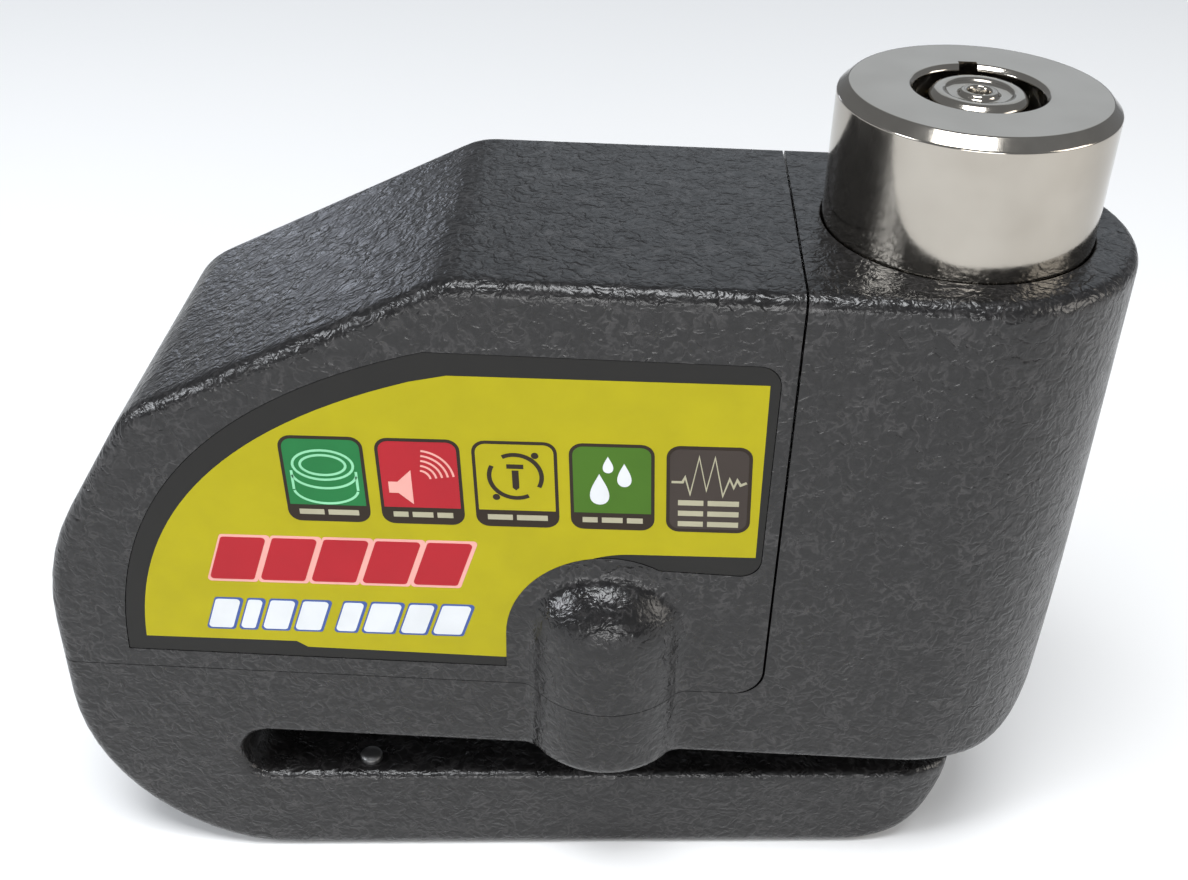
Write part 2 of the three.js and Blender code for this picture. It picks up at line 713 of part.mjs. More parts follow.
// ---------------------------------------------------------------- bolt carrier, bolt, pin, spring

function boltCarrier() {
  const body = bar(LOCK_X, MID_Y, CARRIER_FOOT, BARREL_FOOT - GAP, CARRIER_RADIUS, 36);
  const halfWindow = BOLT_WIDTH / 2 + GAP;
  return cut(
    body,
    box(
      LOCK_X - 5,
      LOCK_X + 20,
      MID_Y - halfWindow,
      MID_Y + halfWindow,
      BOLT_FOOT - GAP,
      BOLT_FOOT + BOLT_HEIGHT + GAP,
    ),
    barX(LOCK_X - 11, LOCK_X - 4, MID_Y, BOLT_FOOT + BOLT_HEIGHT / 2, 2.2),
    bar(LOCK_X, MID_Y, BOLT_FOOT + 1, BARREL_FOOT + 1, 3),
    bar(LOCK_X, MID_Y, CARRIER_FOOT - 1, CARRIER_FOOT + 2.6, PIN_NECK + GAP, 24),
    barY(LOCK_X, MID_Y - 20, MID_Y + 20, DOWEL_Z, DOWEL_RADIUS + 0.2, 12),
    bar(LOCK_X, GUIDE_Y, CARRIER_FOOT - 1, BARREL_FOOT, GUIDE_RADIUS + 2 * GAP, 20),
    ...CARRIER_SCREWS.map(([x, y]) =>
      bar(x, y, CARRIER_FOOT - 1, BARREL_FOOT, CARRIER_SCREW_RADIUS + GAP, 16),
    ),
    ...CARRIER_SCREWS.map(([x, y]) =>
      bar(x, y, CARRIER_FOOT - 1, CARRIER_FOOT + 2.2, CARRIER_SCREW_HEAD + GAP, 20),
    ),
  );
}

function latchBolt() {
  const left = LOCK_X - 4.7;
  const bolt = box(
    left,
    LOCK_X + CARRIER_RADIUS - 0.1,
    MID_Y - BOLT_WIDTH / 2,
    MID_Y + BOLT_WIDTH / 2,
    BOLT_FOOT,
    BOLT_FOOT + BOLT_HEIGHT,
  );
  const rounded = bolt.intersect(bar(LOCK_X, MID_Y, BOLT_FOOT - 1, 60, CARRIER_RADIUS, 36));
  const clearance = CAM_RADIUS + 0.35;
  const slotReach = CAM_OFFSET + CAM_RADIUS + 0.8;
  return cut(
    rounded,
    box(
      LOCK_X - CAM_OFFSET - clearance,
      LOCK_X - CAM_OFFSET + clearance,
      MID_Y - slotReach,
      MID_Y + CAM_RADIUS,
      BOLT_FOOT - 1,
      BOLT_FOOT + BOLT_HEIGHT + 1,
    ),
  );
}

function carrierScrew(x, y) {
  const head = CARRIER_FOOT + 0.2;
  const headHeight = 1.8;
  const profile = [
    [0, head],
    [CARRIER_SCREW_HEAD, head],
    [CARRIER_SCREW_HEAD, head + headHeight],
    [CARRIER_SCREW_RADIUS, head + headHeight],
    [CARRIER_SCREW_RADIUS, CARRIER_SCREW_TIP],
    [0, CARRIER_SCREW_TIP],
  ];
  return cut(turned(x, y, profile, 16), hexSocket(x, y, head - 1, head + 1, 1.8));
}

function lockPin() {
  const collar = CARRIER_FOOT - GAP;
  const profile = [
    [0, PIN_TIP],
    [PIN_RADIUS - 1.4, PIN_TIP],
    [PIN_RADIUS, PIN_TIP + 1.8],
    [PIN_RADIUS, collar],
    [PIN_NECK, collar],
    [PIN_NECK, CARRIER_FOOT + 2.4],
    [0, CARRIER_FOOT + 2.4],
  ];
  const crossHole = barY(LOCK_X, MID_Y - 20, MID_Y + 20, DOWEL_Z, DOWEL_RADIUS + 0.2, 12);
  return cut(turned(LOCK_X, MID_Y, profile), crossHole);
}

function barrelSpring() {
  const wire = 0.7;
  const radius = 5.3;
  const turns = 5;
  const foot = BORE_FLOOR + GAP + wire;
  const geometry = coil(radius, CARRIER_FOOT - 0.4 - wire - foot, turns, wire);
  geometry.translate(LOCK_X, MID_Y, foot);
  return geometry;
}

function latchSpring() {
  const wire = 0.3;
  const radius = 1.4;
  const length = 5.3;
  const turns = 4;
  const geometry = coil(radius, length, turns, wire, 8);
  geometry.rotateY(Math.PI / 2);
  geometry.translate(LOCK_X - 10.4, MID_Y, BOLT_FOOT + BOLT_HEIGHT / 2);
  return geometry;
}

add('bolt_carrier', boltCarrier(), steel);
CARRIER_SCREWS.forEach(([x, y], k) => add(`carrier_screw_${k + 1}`, carrierScrew(x, y), steel));
add('latch_bolt', latchBolt(), hardened);
add('latch_spring', latchSpring(), steel);
add('lock_pin', lockPin(), hardened);
add('pin_dowel', barY(LOCK_X, MID_Y - 6, MID_Y + 6, DOWEL_Z, DOWEL_RADIUS, 12), hardened);
add('barrel_spring', barrelSpring(), steel);
add('guide_rod', bar(LOCK_X, GUIDE_Y, GUIDE_FOOT, GUIDE_TOP, GUIDE_RADIUS, 20), hardened);

function bush(z0, z1) {
  return turned(LOCK_X, MID_Y, [
    [PIN_RADIUS + GAP, z0],
    [BUSH_RADIUS, z0],
    [BUSH_RADIUS, z1],
    [PIN_RADIUS + GAP, z1],
    [PIN_RADIUS + GAP, z0],
  ]);
}

add('roof_bush', bush(SLOT_ROOF + 0.3, BORE_FLOOR - 0.2), hardened);
add('jaw_bush', bush(5.5, SLOT_FLOOR - 0.2), hardened);
function barrelSeal() {
  const lip = BARREL_RADIUS + 0.15;
  return turned(
    LOCK_X,
    MID_Y,
    [
      [lip, SEAL_TOP - 0.6],
      [lip + 0.5, SEAL_FOOT],
      [SEAL_RADIUS, SEAL_FOOT],
      [SEAL_RADIUS, SEAL_TOP],
      [lip, SEAL_TOP],
      [lip, SEAL_TOP - 0.6],
    ],
    44,
  );
}

add('barrel_seal', barrelSeal(), rubber);

function slotStud() {
  const foot = SLOT_FLOOR - STUD_ROOT;
  const top = SLOT_FLOOR + STUD_HEIGHT;
  const profile = [
    [0, foot],
    [STUD_RADIUS, foot],
    [STUD_RADIUS, top - 0.5],
    [STUD_RADIUS * 0.7, top - 0.15],
    [0, top],
  ];
  return turned(STUD_X, STUD_Y, profile, 20);
}

add('slot_stud', slotStud(), steel);

// ---------------------------------------------------------------- circuit board and its parts

function circuitBoard() {
  const plate = box(BOARD_LEFT, BOARD_RIGHT, BOARD_FACE_Y - BOARD_THICK, BOARD_FACE_Y, BOARD_FOOT, BOARD_TOP);
  const holes = BOARD_POSTS.map(([x, z]) => barY(x, FRONT, 0, z, POST_HOLE, 16));
  return cut(plate, ...holes);
}

function boardScrew(x, z) {
  const headFoot = BOARD_FACE_Y + GAP;
  const headTop = headFoot + 1.4;
  const shank = barY(x, FRONT + WALL + 0.6, headFoot + 0.2, z, 1, 12);
  const head = barY(x, headFoot, headTop, z, 1.9, 20);
  const bladeSlot = box(x - 3, x + 3, headTop - 0.6, headTop + 1, z - 0.25, z + 0.25);
  return cut(joined(shank, head), bladeSlot);
}

const COMPONENT_FACE = BOARD_FACE_Y + GAP;

// A round component standing on the board.
function can(x, z, height, radius) {
  return barY(x, COMPONENT_FACE, COMPONENT_FACE + height, z, radius);
}

add('circuit_board', circuitBoard(), boardGreen);
add('controller_chip', box(-6, -1, COMPONENT_FACE, COMPONENT_FACE + 1.6, 32, 36), blackPlastic);
add('inductor', can(12, 37, 8, 4.2), copper);
add('capacitor', can(3.5, 35, 7, 2.5), blackPlastic);
add('shock_sensor', can(-8, 43, 9, 3.6), steel);
BOARD_POSTS.forEach(([x, z], k) => add(`board_screw_${k + 1}`, boardScrew(x, z), steel));

// ---------------------------------------------------------------- siren behind the sound holes

// A ring or disc about the siren's own line, from a profile of [radius, y] points.
function sirenPiece(profile) {
  const points = profile.map(([radius, y]) => new THREE.Vector2(radius, y));
  const geometry = new THREE.LatheGeometry(points, 28);
  geometry.translate(SIREN_X, 0, SIREN_Z);
  return solid(geometry);
}

// A flat disc or ring of the siren between two depths behind the cover's back wall.
function sirenPlate(inner, outer, deep, shallow) {
  const profile = [
    [inner, SIREN_BACK - deep],
    [outer, SIREN_BACK - deep],
    [outer, SIREN_BACK - shallow],
    [inner, SIREN_BACK - shallow],
  ];
  if (inner > 0) profile.push(profile[0]);
  return sirenPiece(profile);
}

function sirenCup() {
  const outer = 13.8;
  const wall = 1;
  const ledge = 11.4;
  const floor = SIREN_BACK - 9;
  const rim = SIREN_BACK - 0.6;
  const step = SIREN_BACK - 4.6;
  return sirenPiece([
    [0, floor],
    [outer, floor],
    [outer, rim],
    [outer - wall, rim],
    [outer - wall, step],
    [ledge, step],
    [ledge, floor + 1.2],
    [0, floor + 1.2],
  ]);
}

add('siren_cup', sirenCup(), blackPlastic);
add('piezo_disc', sirenPlate(0, 12.5, 4.3, 3.8), ceramic);
add('siren_ring', sirenPlate(11.2, 12.5, 3.5, 0.6), rubber);
add('siren_membrane', sirenPlate(0, 9.5, 0.3, 0), blackPlastic);

// ---------------------------------------------------------------- battery holder and cells

function batteryHolder() {
  const margin = CELL_RADIUS + 1.2;
  const stackEnd = STACK_Y0 + CELLS_PER_STACK * CELL_HEIGHT;
  const block = box(
    STACK_X[0] - margin,
    STACK_X[1] + margin,
    STACK_Y0 - 4,
    stackEnd + 6,
    SEAM_Z + 2,
    STACK_Z + 2,
  );
  const cradles = STACK_X.map((x) => barY(x, STACK_Y0 - 2.6, stackEnd + 4.6, STACK_Z, CELL_RADIUS + GAP, 32));
  return cut(block, ...cradles);
}

function buttonCell(x, k) {
  const y0 = STACK_Y0 + k * CELL_PITCH;
  const rim = 0.4;
  const shell = barY(x, y0, y0 + CELL_HEIGHT - rim, STACK_Z, CELL_RADIUS, 20);
  const cap = barY(x, y0 + CELL_HEIGHT - rim - 0.2, y0 + CELL_HEIGHT, STACK_Z, CELL_RADIUS - 0.9, 20);
  return joined(shell, cap);
}

function contactSpring(x) {
  const spring = coil(3, 3, 2.5, 0.35, 8);
  spring.rotateX(-Math.PI / 2);
  spring.translate(x, STACK_Y0 + CELLS_PER_STACK * CELL_PITCH + 0.6, STACK_Z);
  return spring;
}

function contactBridge() {
  return box(STACK_X[0] - 4, STACK_X[1] + 4, STACK_Y0 - 0.9, STACK_Y0 - 0.4, STACK_Z + 2.4, STACK_Z + 5);
}

add('battery_holder', batteryHolder(), blackPlastic);
STACK_X.forEach((x, stack) => {
  for (let k = 0; k < CELLS_PER_STACK; k += 1) {
    add(`battery_${stack * CELLS_PER_STACK + k + 1}`, buttonCell(x, k), steel);
  }
  add(`contact_spring_${stack + 1}`, contactSpring(x), brass);
});
add('contact_bridge', contactBridge(), brass);

// ---------------------------------------------------------------- arming switch

function switchBody() {
  const half = 3.4;
  const left = SEAM_X - 12.7;
  const block = box(left, SEAM_X - 2 * GAP, MID_Y - half, MID_Y + half, PLUNGER_Z - half, PLUNGER_Z + half);
  return cut(block, barX(left + 1.5, SEAM_X + 2, MID_Y, PLUNGER_Z, PLUNGER_RADIUS + 0.4));
}

function switchPlunger() {
  const nose = LOCK_X - BARREL_RADIUS + RAMP_DEPTH - 0.35;
  const tail = SEAM_X - 9.4;
  const ball = new THREE.SphereGeometry(PLUNGER_RADIUS, 16, 10);
  ball.translate(nose - PLUNGER_RADIUS, MID_Y, PLUNGER_Z);
  return joined(barX(tail, nose - PLUNGER_RADIUS, MID_Y, PLUNGER_Z, PLUNGER_RADIUS, 16), solid(ball));
}

add('switch_body', switchBody(), blackPlastic);
add('switch_plunger', switchPlunger(), ceramic);

export default group;
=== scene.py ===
"""Looks of a disc brake lock with an alarm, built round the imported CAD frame.

Shapes are worked out in millimetres, in the frame's axes: +X along the lock towards the barrel,
the label faces -Y, +Z is up. They are scaled to metres when a mesh is made.
"""

import json
import math

import bmesh
import bpy
import numpy as np
from mathutils import Matrix, Vector


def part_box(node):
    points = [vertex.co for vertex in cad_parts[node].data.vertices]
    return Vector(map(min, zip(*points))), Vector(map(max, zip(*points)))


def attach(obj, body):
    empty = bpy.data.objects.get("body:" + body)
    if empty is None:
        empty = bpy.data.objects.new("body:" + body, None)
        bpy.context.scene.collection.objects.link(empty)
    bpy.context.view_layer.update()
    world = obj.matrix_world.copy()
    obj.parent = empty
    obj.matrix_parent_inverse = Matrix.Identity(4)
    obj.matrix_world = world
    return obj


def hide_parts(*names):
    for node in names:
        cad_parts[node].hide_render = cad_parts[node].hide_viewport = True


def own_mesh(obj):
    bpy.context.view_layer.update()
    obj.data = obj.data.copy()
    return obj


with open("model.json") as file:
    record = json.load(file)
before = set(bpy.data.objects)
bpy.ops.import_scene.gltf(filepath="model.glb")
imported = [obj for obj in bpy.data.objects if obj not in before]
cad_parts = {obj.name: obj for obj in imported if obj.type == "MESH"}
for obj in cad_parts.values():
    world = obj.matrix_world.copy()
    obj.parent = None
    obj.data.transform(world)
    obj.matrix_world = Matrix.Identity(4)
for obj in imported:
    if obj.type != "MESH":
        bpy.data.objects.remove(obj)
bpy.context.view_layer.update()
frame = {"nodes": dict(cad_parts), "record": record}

# ---- sizes

MM = 0.001


def box_mm(node):
    low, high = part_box(node)
    return [c / MM for c in low], [c / MM for c in high]


def middle_mm(node):
    return [(a + b) / 2 for a, b in zip(*box_mm(node))]


def levels_mm(node):
    """A node's lowest and highest Z."""
    low, high = box_mm(node)
    return low[2], high[2]


body_low, body_high = box_mm("main_body")
barrel_low, barrel_high = box_mm("lock_barrel")

# Read from the frame.
LEFT = body_low[0]
RIGHT = body_high[0]
BODY_TOP = body_high[2]
LOCK_X = (barrel_low[0] + barrel_high[0]) / 2
MID_Y = (barrel_low[1] + barrel_high[1]) / 2
END_RADIUS = RIGHT - LOCK_X
FRONT = MID_Y - END_RADIUS
BACK = MID_Y + END_RADIUS
CAD_GAP = 0.3
SEAM_X = box_mm("alarm_cover")[1][0] + CAD_GAP
BARREL_TOP = barrel_high[2]
BARREL_FOOT = barrel_low[2]
BARREL_RADIUS = (barrel_high[0] - barrel_low[0]) / 2
LABEL_FACE = box_mm("label_sticker")[0][1]

# The casting.
EDGE_ROUND = 1.5
SLOT_ROUND = 0.9
SLOT_FLOOR = 11.4
SLOT_ROOF = 18.1
MID_SLOT = (SLOT_FLOOR + SLOT_ROOF) / 2
SLOT_HALF = (SLOT_ROOF - SLOT_FLOOR) / 2
SLOT_END = LEFT + 17.5
TIGHT_WITHIN = 4.2  # the edge rounding is SLOT_ROUND up to this far from the slot's middle
SOFT_BEYOND = 9  # and EDGE_ROUND from here on
JAW_END = LOCK_X + 7.8
JAW_TAPER = 0.07
FOOT_DRAFT = 2.4  # how far the column's right side leans in at its foot
SHOULDER = (-41.1, 57.5)
TOP_BEND = (-11.2, 72.5)
STEEP_FOOT_Z = 39.4
BOSS_X = LOCK_X - 31.1
BOSS_RADIUS = 8.85
BOSS_Y = body_low[1] + BOSS_RADIUS
BOSS_DOME_Z = 34.6
BOSS_DOME_RISE = 7.5
BOSS_FILLET = 0.8
BOSS_FOOT_ROUND = 1.4

# The cover and its seams.
WALL = 2.5
SEAM_Z = 26.9
SEAM_CORNER = 3.0
UPRIGHT_SEAM = 0.24  # how far the cover stands off the column
LEVEL_SEAM = 0.07  # and off the strip below, where it is drawn down by its screw
RECESS_DEPTH = 0.55  # the smooth recess that the label lies in
RECESS_MARGIN = 0.25
FILM_MARGIN = 0.18
SOUND_HOLE_RADIUS = 1.0
SOUND_HOLE_CIRCLE = 5.5

# Bores and seats.
BORE_RADIUS = 12.8
BORE_FLOOR = 24.0
GROOVE_RADIUS = 14.2
GROOVE_FOOT = BODY_TOP - 4.4
GROOVE_TOP = BODY_TOP - 1.8
BUSH_RADIUS = 5.5
BUSH_SEAT_RADIUS = 5.8
JAW_SEAT_FLOOR = 5.2
ROD_Y = MID_Y - 9.5
ROD_SEAT_RADIUS = 1.8
ROD_HOLE_RADIUS = 2.1
SCREW_Y = FRONT + 1.0
SCREW_HEAD_RADIUS = 3.5
SCREW_HEAD_SEAT_RADIUS = 3.8
SCREW_RADIUS = 2.0
SCREW_HOLE_RADIUS = 2.3
SOCKET_RADIUS = 1.73
STUD_SEAT_RADIUS = 1.25

# The barrel and its lock.
BARREL_FACE = BARREL_RADIUS + 0.06  # the true round, just outside the frame's facets
SLEEVE_RADIUS = 7.5
SLEEVE_BORE = SLEEVE_RADIUS + 0.3
KEYWAY_RADIUS = 5.8
KEYWAY_LIP = 0.4
KEYWAY_WALL = 3.0
POST_RADIUS = 4.5
PLUG_DECK_Z = 77
TUMBLERS = 7
TUMBLER_CIRCLE = 5.15
TUMBLER_HOLE_RADIUS = 0.58
PIN_RADIUS = 3.5
TRAVEL = 12.0

GRID_STEP = 0.48
SMOOTH_ANGLE = math.radians(35)


# ---- outlines and distance fields

def rounded_outline(corners, arc_step=0.12):
    """Points of a closed outline through (x, z, radius) corners, each turned with an arc."""
    points = []
    count = len(corners)
    for i, (x, z, radius) in enumerate(corners):
        here = Vector((x, z))
        before = (Vector(corners[i - 1][:2]) - here).normalized()
        after = (Vector(corners[(i + 1) % count][:2]) - here).normalized()
        if radius == 0:
            points.append((x, z))
            continue
        half = before.angle(after) / 2
        start = here + before * (radius / math.tan(half))
        end = here + after * (radius / math.tan(half))
        centre = here + (before + after).normalized() * (radius / math.sin(half))
        first = math.atan2(start.y - centre.y, start.x - centre.x)
        last = math.atan2(end.y - centre.y, end.x - centre.x)
        turn = (last - first + math.pi) % (2 * math.pi) - math.pi
        steps = max(2, math.ceil(abs(turn) / arc_step))
        for k in range(steps + 1):
            angle = first + turn * k / steps
            points.append((centre.x + radius * math.cos(angle), centre.y + radius * math.sin(angle)))
    return points


def outline_distance(points, u, v):
    """Signed distance from (u, v) to a closed outline, negative inside."""
    shape = np.broadcast(u, v).shape
    nearest = np.full(shape, 1e9)
    sign = np.ones(shape)
    for (ax, ay), (bx, by) in zip(points, points[1:] + points[:1]):
        ex, ey = bx - ax, by - ay
        length = ex * ex + ey * ey
        if length < 1e-12:
            continue
        wx, wy = u - ax, v - ay
        t = np.clip((wx * ex + wy * ey) / length, 0, 1)
        dx, dy = wx - ex * t, wy - ey * t
        nearest = np.minimum(nearest, dx * dx + dy * dy)
        above_a = v >= ay
        below_b = v < by
        left = ex * wy > ey * wx
        crosses = (above_a & below_b & left) | (~above_a & ~below_b & ~left)
        sign = np.where(crosses, -sign, sign)
    return sign * np.sqrt(nearest)


def meet_round(a, b, radius):
    """Where two solids meet: their common part, with the shared edge rounded."""
    outer = np.sqrt(np.maximum(a + radius, 0) ** 2 + np.maximum(b + radius, 0) ** 2)
    return outer - radius + np.minimum(np.maximum(a + radius, b + radius), 0)


def join_round(a, b, radius):
    """Two solids joined, with a fillet of that radius where they meet."""
    inner = np.sqrt(np.maximum(radius - a, 0) ** 2 + np.maximum(radius - b, 0) ** 2)
    return np.maximum(np.minimum(a, b), radius) - inner


def smooth_step(low, high, value):
    t = np.clip((value - low) / (high - low), 0, 1)
    return t * t * (3 - 2 * t)


def curve(a, b, c, d):
    """Points of a cubic curve from a towards d, short of d itself."""
    steps = 32
    points = []
    for k in range(steps):
        t = k / steps
        s = 1 - t
        weights = s ** 3, 3 * s * s * t, 3 * s * t * t, t ** 3
        points.append(tuple(sum(w * p[i] for w, p in zip(weights, (a, b, c, d))) for i in range(2)))
    return points


def arc(u, v, radius_u, radius_v, first, last, steps=24):
    """Points of an ellipse's arc between two angles in degrees."""
    angles = [math.radians(first + (last - first) * k / steps) for k in range(steps + 1)]
    return [(u + radius_u * math.cos(a), v + radius_v * math.sin(a)) for a in angles]


def round_outline(u, v, radius, sides):
    return arc(u, v, radius, radius, 0, 360, sides)[:-1]


# Where both outlines would end in the same plane, one of them runs on past it,
# because rounding the edge between two faces that lie together would eat into the shape.
OVERRUN = 2.5
SIDE = rounded_outline([
    (LEFT, 0, 22),
    (JAW_END, 0, 11.2),
    (JAW_END, SLOT_FLOOR, 0),
    (SLOT_END, SLOT_FLOOR, SLOT_HALF - 0.01),
    (SLOT_END, SLOT_ROOF, SLOT_HALF - 0.01),
    (RIGHT - FOOT_DRAFT, SLOT_ROOF, 7.8),
    (RIGHT + 1.5 * FOOT_DRAFT, BODY_TOP, 0),
    (TOP_BEND[0], TOP_BEND[1], 7),
    (SHOULDER[0], SHOULDER[1], 8),
    (LEFT, STEEP_FOOT_Z, 27),
])
UPPER_PLAN = rounded_outline([
    (LEFT - OVERRUN, FRONT, 0),
    (RIGHT, FRONT, END_RADIUS - 0.01),
    (RIGHT, BACK, END_RADIUS - 0.01),
    (LEFT - OVERRUN, BACK, 0),
], 0.05)
JAW_RECESS = JAW_TAPER * (JAW_END + OVERRUN - SLOT_END)
JAW_CORNER = 7 + OVERRUN
JAW_PLAN = rounded_outline([
    (LEFT - OVERRUN, FRONT, 0),
    (SLOT_END, FRONT, 0),
    (JAW_END + OVERRUN, FRONT + JAW_RECESS, JAW_CORNER),
    (JAW_END + OVERRUN, BACK - JAW_RECESS, JAW_CORNER),
    (SLOT_END, BACK, 0),
    (LEFT - OVERRUN, BACK, 0),
])


def plan_field(x, y, z):
    upper = outline_distance(UPPER_PLAN, x, y)
    lower = outline_distance(JAW_PLAN, x, y)
    return np.where(z > MID_SLOT, upper, lower)


def boss_field(x, y, z):
    """The half-round boss: a standing cylinder with a domed top."""
    radial = np.sqrt((x - BOSS_X) ** 2 + (y - BOSS_Y) ** 2)
    squash = BOSS_RADIUS / BOSS_DOME_RISE
    height = np.maximum((z - BOSS_DOME_Z) * squash, 0)
    dome = (np.sqrt(radial ** 2 + height ** 2) - BOSS_RADIUS) / np.where(z > BOSS_DOME_Z, squash, 1)
    foot = meet_round(dome, SLOT_ROOF - z, BOSS_FOOT_ROUND)
    return np.maximum(foot, y - (FRONT + 1.5))


def envelope_field(x, y, z):
    """The whole outer shape of the casting and its cover, with tighter edges along the slot."""
    side = outline_distance(SIDE, x, z)
    from_slot = np.sqrt((z - MID_SLOT) ** 2 + np.minimum(x - SLOT_END - SLOT_HALF, 0) ** 2)
    radius = SLOT_ROUND + (EDGE_ROUND - SLOT_ROUND) * smooth_step(TIGHT_WITHIN, SOFT_BEYOND, from_slot)
    shell = meet_round(side, plan_field(x, y, z), radius)
    return join_round(shell, boss_field(x, y, z), BOSS_FILLET)


# ---- meshes from distance fields

def net_mesh(name, field, low, high):
    """A closed quad mesh of field = 0 inside a box, by naive surface nets, drawn onto the surface."""
    counts = [int(math.ceil((high[i] - low[i]) / GRID_STEP)) + 1 for i in range(3)]
    axes = [low[i] + GRID_STEP * np.arange(counts[i]) for i in range(3)]
    values = np.broadcast_to(
        field(axes[0][:, None, None], axes[1][None, :, None], axes[2][None, None, :]), counts
    ).astype(np.float32)
    inside = values < 0

    corner_offsets = np.array([(i, j, k) for i in (0, 1) for j in (0, 1) for k in (0, 1)])
    total = 0
    for offset in corner_offsets:
        window = tuple(slice(offset[i], counts[i] - 1 + offset[i]) for i in range(3))
        total = total + inside[window].astype(np.int8)
    cells = np.argwhere((total > 0) & (total < 8))
    cell_number = np.full([c - 1 for c in counts], -1, dtype=np.int32)
    cell_number[tuple(cells.T)] = np.arange(len(cells))

    corner_values = np.stack([values[tuple((cells + o).T)] for o in corner_offsets], axis=1)
    position = np.zeros((len(cells), 3))
    crossings = np.zeros(len(cells))
    for a in range(8):
        for b in range(a + 1, 8):
            if np.abs(corner_offsets[a] - corner_offsets[b]).sum() != 1:
                continue
            va, vb = corner_values[:, a], corner_values[:, b]
            cut = (va < 0) != (vb < 0)
            t = np.where(cut, va / np.where(cut, va - vb, 1), 0)
            step = corner_offsets[a] + t[:, None] * (corner_offsets[b] - corner_offsets[a])
            position += np.where(cut[:, None], step, 0)
            crossings += cut
    position = np.array(low) + GRID_STEP * (cells + position / crossings[:, None])

    quads = []
    for axis in range(3):
        u, v = (axis + 1) % 3, (axis + 2) % 3
        here = inside[tuple(slice(0, -1) if i == axis else slice(1, -1) for i in range(3))]
        there = inside[tuple(slice(1, None) if i == axis else slice(1, -1) for i in range(3))]
        edges = np.argwhere(here != there)
        starts_inside = here[tuple(edges.T)]
        edges[:, u] += 1
        edges[:, v] += 1
        ring = []
        for du, dv in ((-1, -1), (0, -1), (0, 0), (-1, 0)):
            cell = edges.copy()
            cell[:, u] += du
            cell[:, v] += dv
            ring.append(cell_number[tuple(cell.T)])
        ring = np.stack(ring, axis=1)
        quads.append(np.where(starts_inside[:, None], ring, ring[:, ::-1]))
    quads = np.concatenate(quads)

    position = drawn_onto(field, position)
    mesh = bpy.data.meshes.new(name)
    mesh.from_pydata((position * MM).tolist(), [], quads.tolist())
    mesh.update()
    return mesh


def drawn_onto(field, points):
    """Points moved twice along the field's slope onto field = 0, never by more than half a grid step."""
    nudge = 0.04
    for _ in range(2):
        value = field(points[:, 0], points[:, 1], points[:, 2])
        slope = np.stack([
            field(*[points[:, i] + (nudge if i == axis else 0) for i in range(3)])
            - field(*[points[:, i] - (nudge if i == axis else 0) for i in range(3)])
            for axis in range(3)
        ], axis=1) / (2 * nudge)
        steepness = np.maximum((slope ** 2).sum(axis=1), 0.25)
        move = -slope * (value / steepness)[:, None]
        reach = np.sqrt((move ** 2).sum(axis=1))
        limit = np.minimum(1, 0.5 * GRID_STEP / np.maximum(reach, 1e-9))
        points = points + move * limit[:, None]
    return points


# ---- object helpers

def new_object(name, mesh, material):
    thing = bpy.data.objects.new(name, mesh)
    bpy.context.scene.collection.objects.link(thing)
    mesh.materials.clear()
    mesh.materials.append(material)
    mesh.shade_smooth()
    mesh.set_sharp_from_angle(angle=SMOOTH_ANGLE)
    return thing


def finish_piece(thing, body="root", replaces=()):
    if replaces:
        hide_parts(*replaces)
    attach(thing, body)


def turned_mesh(name, x, y, profile, sides):
    """A turned solid about the upright line at x, y, from (radius, z) points.

    The profile starts and ends on the axis, or closes on itself.
    """
    rings = []
    vertices = []
    closed = profile[0] == profile[-1]
    points = profile[:-1] if closed else profile
    for radius, z in points:
        if radius < 1e-6:
            rings.append([len(vertices)] * sides)
            vertices.append((x * MM, y * MM, z * MM))
            continue
        rings.append(list(range(len(vertices), len(vertices) + sides)))
        vertices += [(u * MM, v * MM, z * MM) for u, v in round_outline(x, y, radius, sides)]
    faces = []
    following = rings[1:] + rings[:1] if closed else rings[1:]
    for lower, upper in zip(rings, following):
        for k in range(sides):
            n = (k + 1) % sides
            loop = [lower[k], lower[n], upper[n], upper[k]]
            unique = [v for i, v in enumerate(loop) if v not in loop[:i]]
            if len(unique) > 2:
                faces.append(unique)
    mesh = bpy.data.meshes.new(name)
    mesh.from_pydata(vertices, [], faces)
    outward(mesh)
    return mesh


def outward(mesh):
    """Turns every face of a closed mesh outwards."""
    work = bmesh.new()
    work.from_mesh(mesh)
    bmesh.ops.recalc_face_normals(work, faces=work.faces)
    work.to_mesh(mesh)
    work.free()
    mesh.update()


def prism_mesh(name, outline, low, high, along="y"):
    """A prism of an outline in X-Z (along y) or X-Y (along z), between two levels."""
    if along == "y":
        ends = [[(u * MM, level * MM, v * MM) for u, v in outline] for level in (low, high)]
    else:
        ends = [[(u * MM, v * MM, level * MM) for u, v in outline] for level in (low, high)]
    count = len(outline)
    faces = [list(range(count)), list(range(count, 2 * count))]
    faces += [[k, (k + 1) % count, count + (k + 1) % count, count + k] for k in range(count)]
    mesh = bpy.data.meshes.new(name)
    mesh.from_pydata(ends[0] + ends[1], [], faces)
    outward(mesh)
    return mesh


def box_mesh(name, low, high):
    outline = [(low[0], low[1]), (high[0], low[1]), (high[0], high[1]), (low[0], high[1])]
    return prism_mesh(name, outline, low[2], high[2], "z")


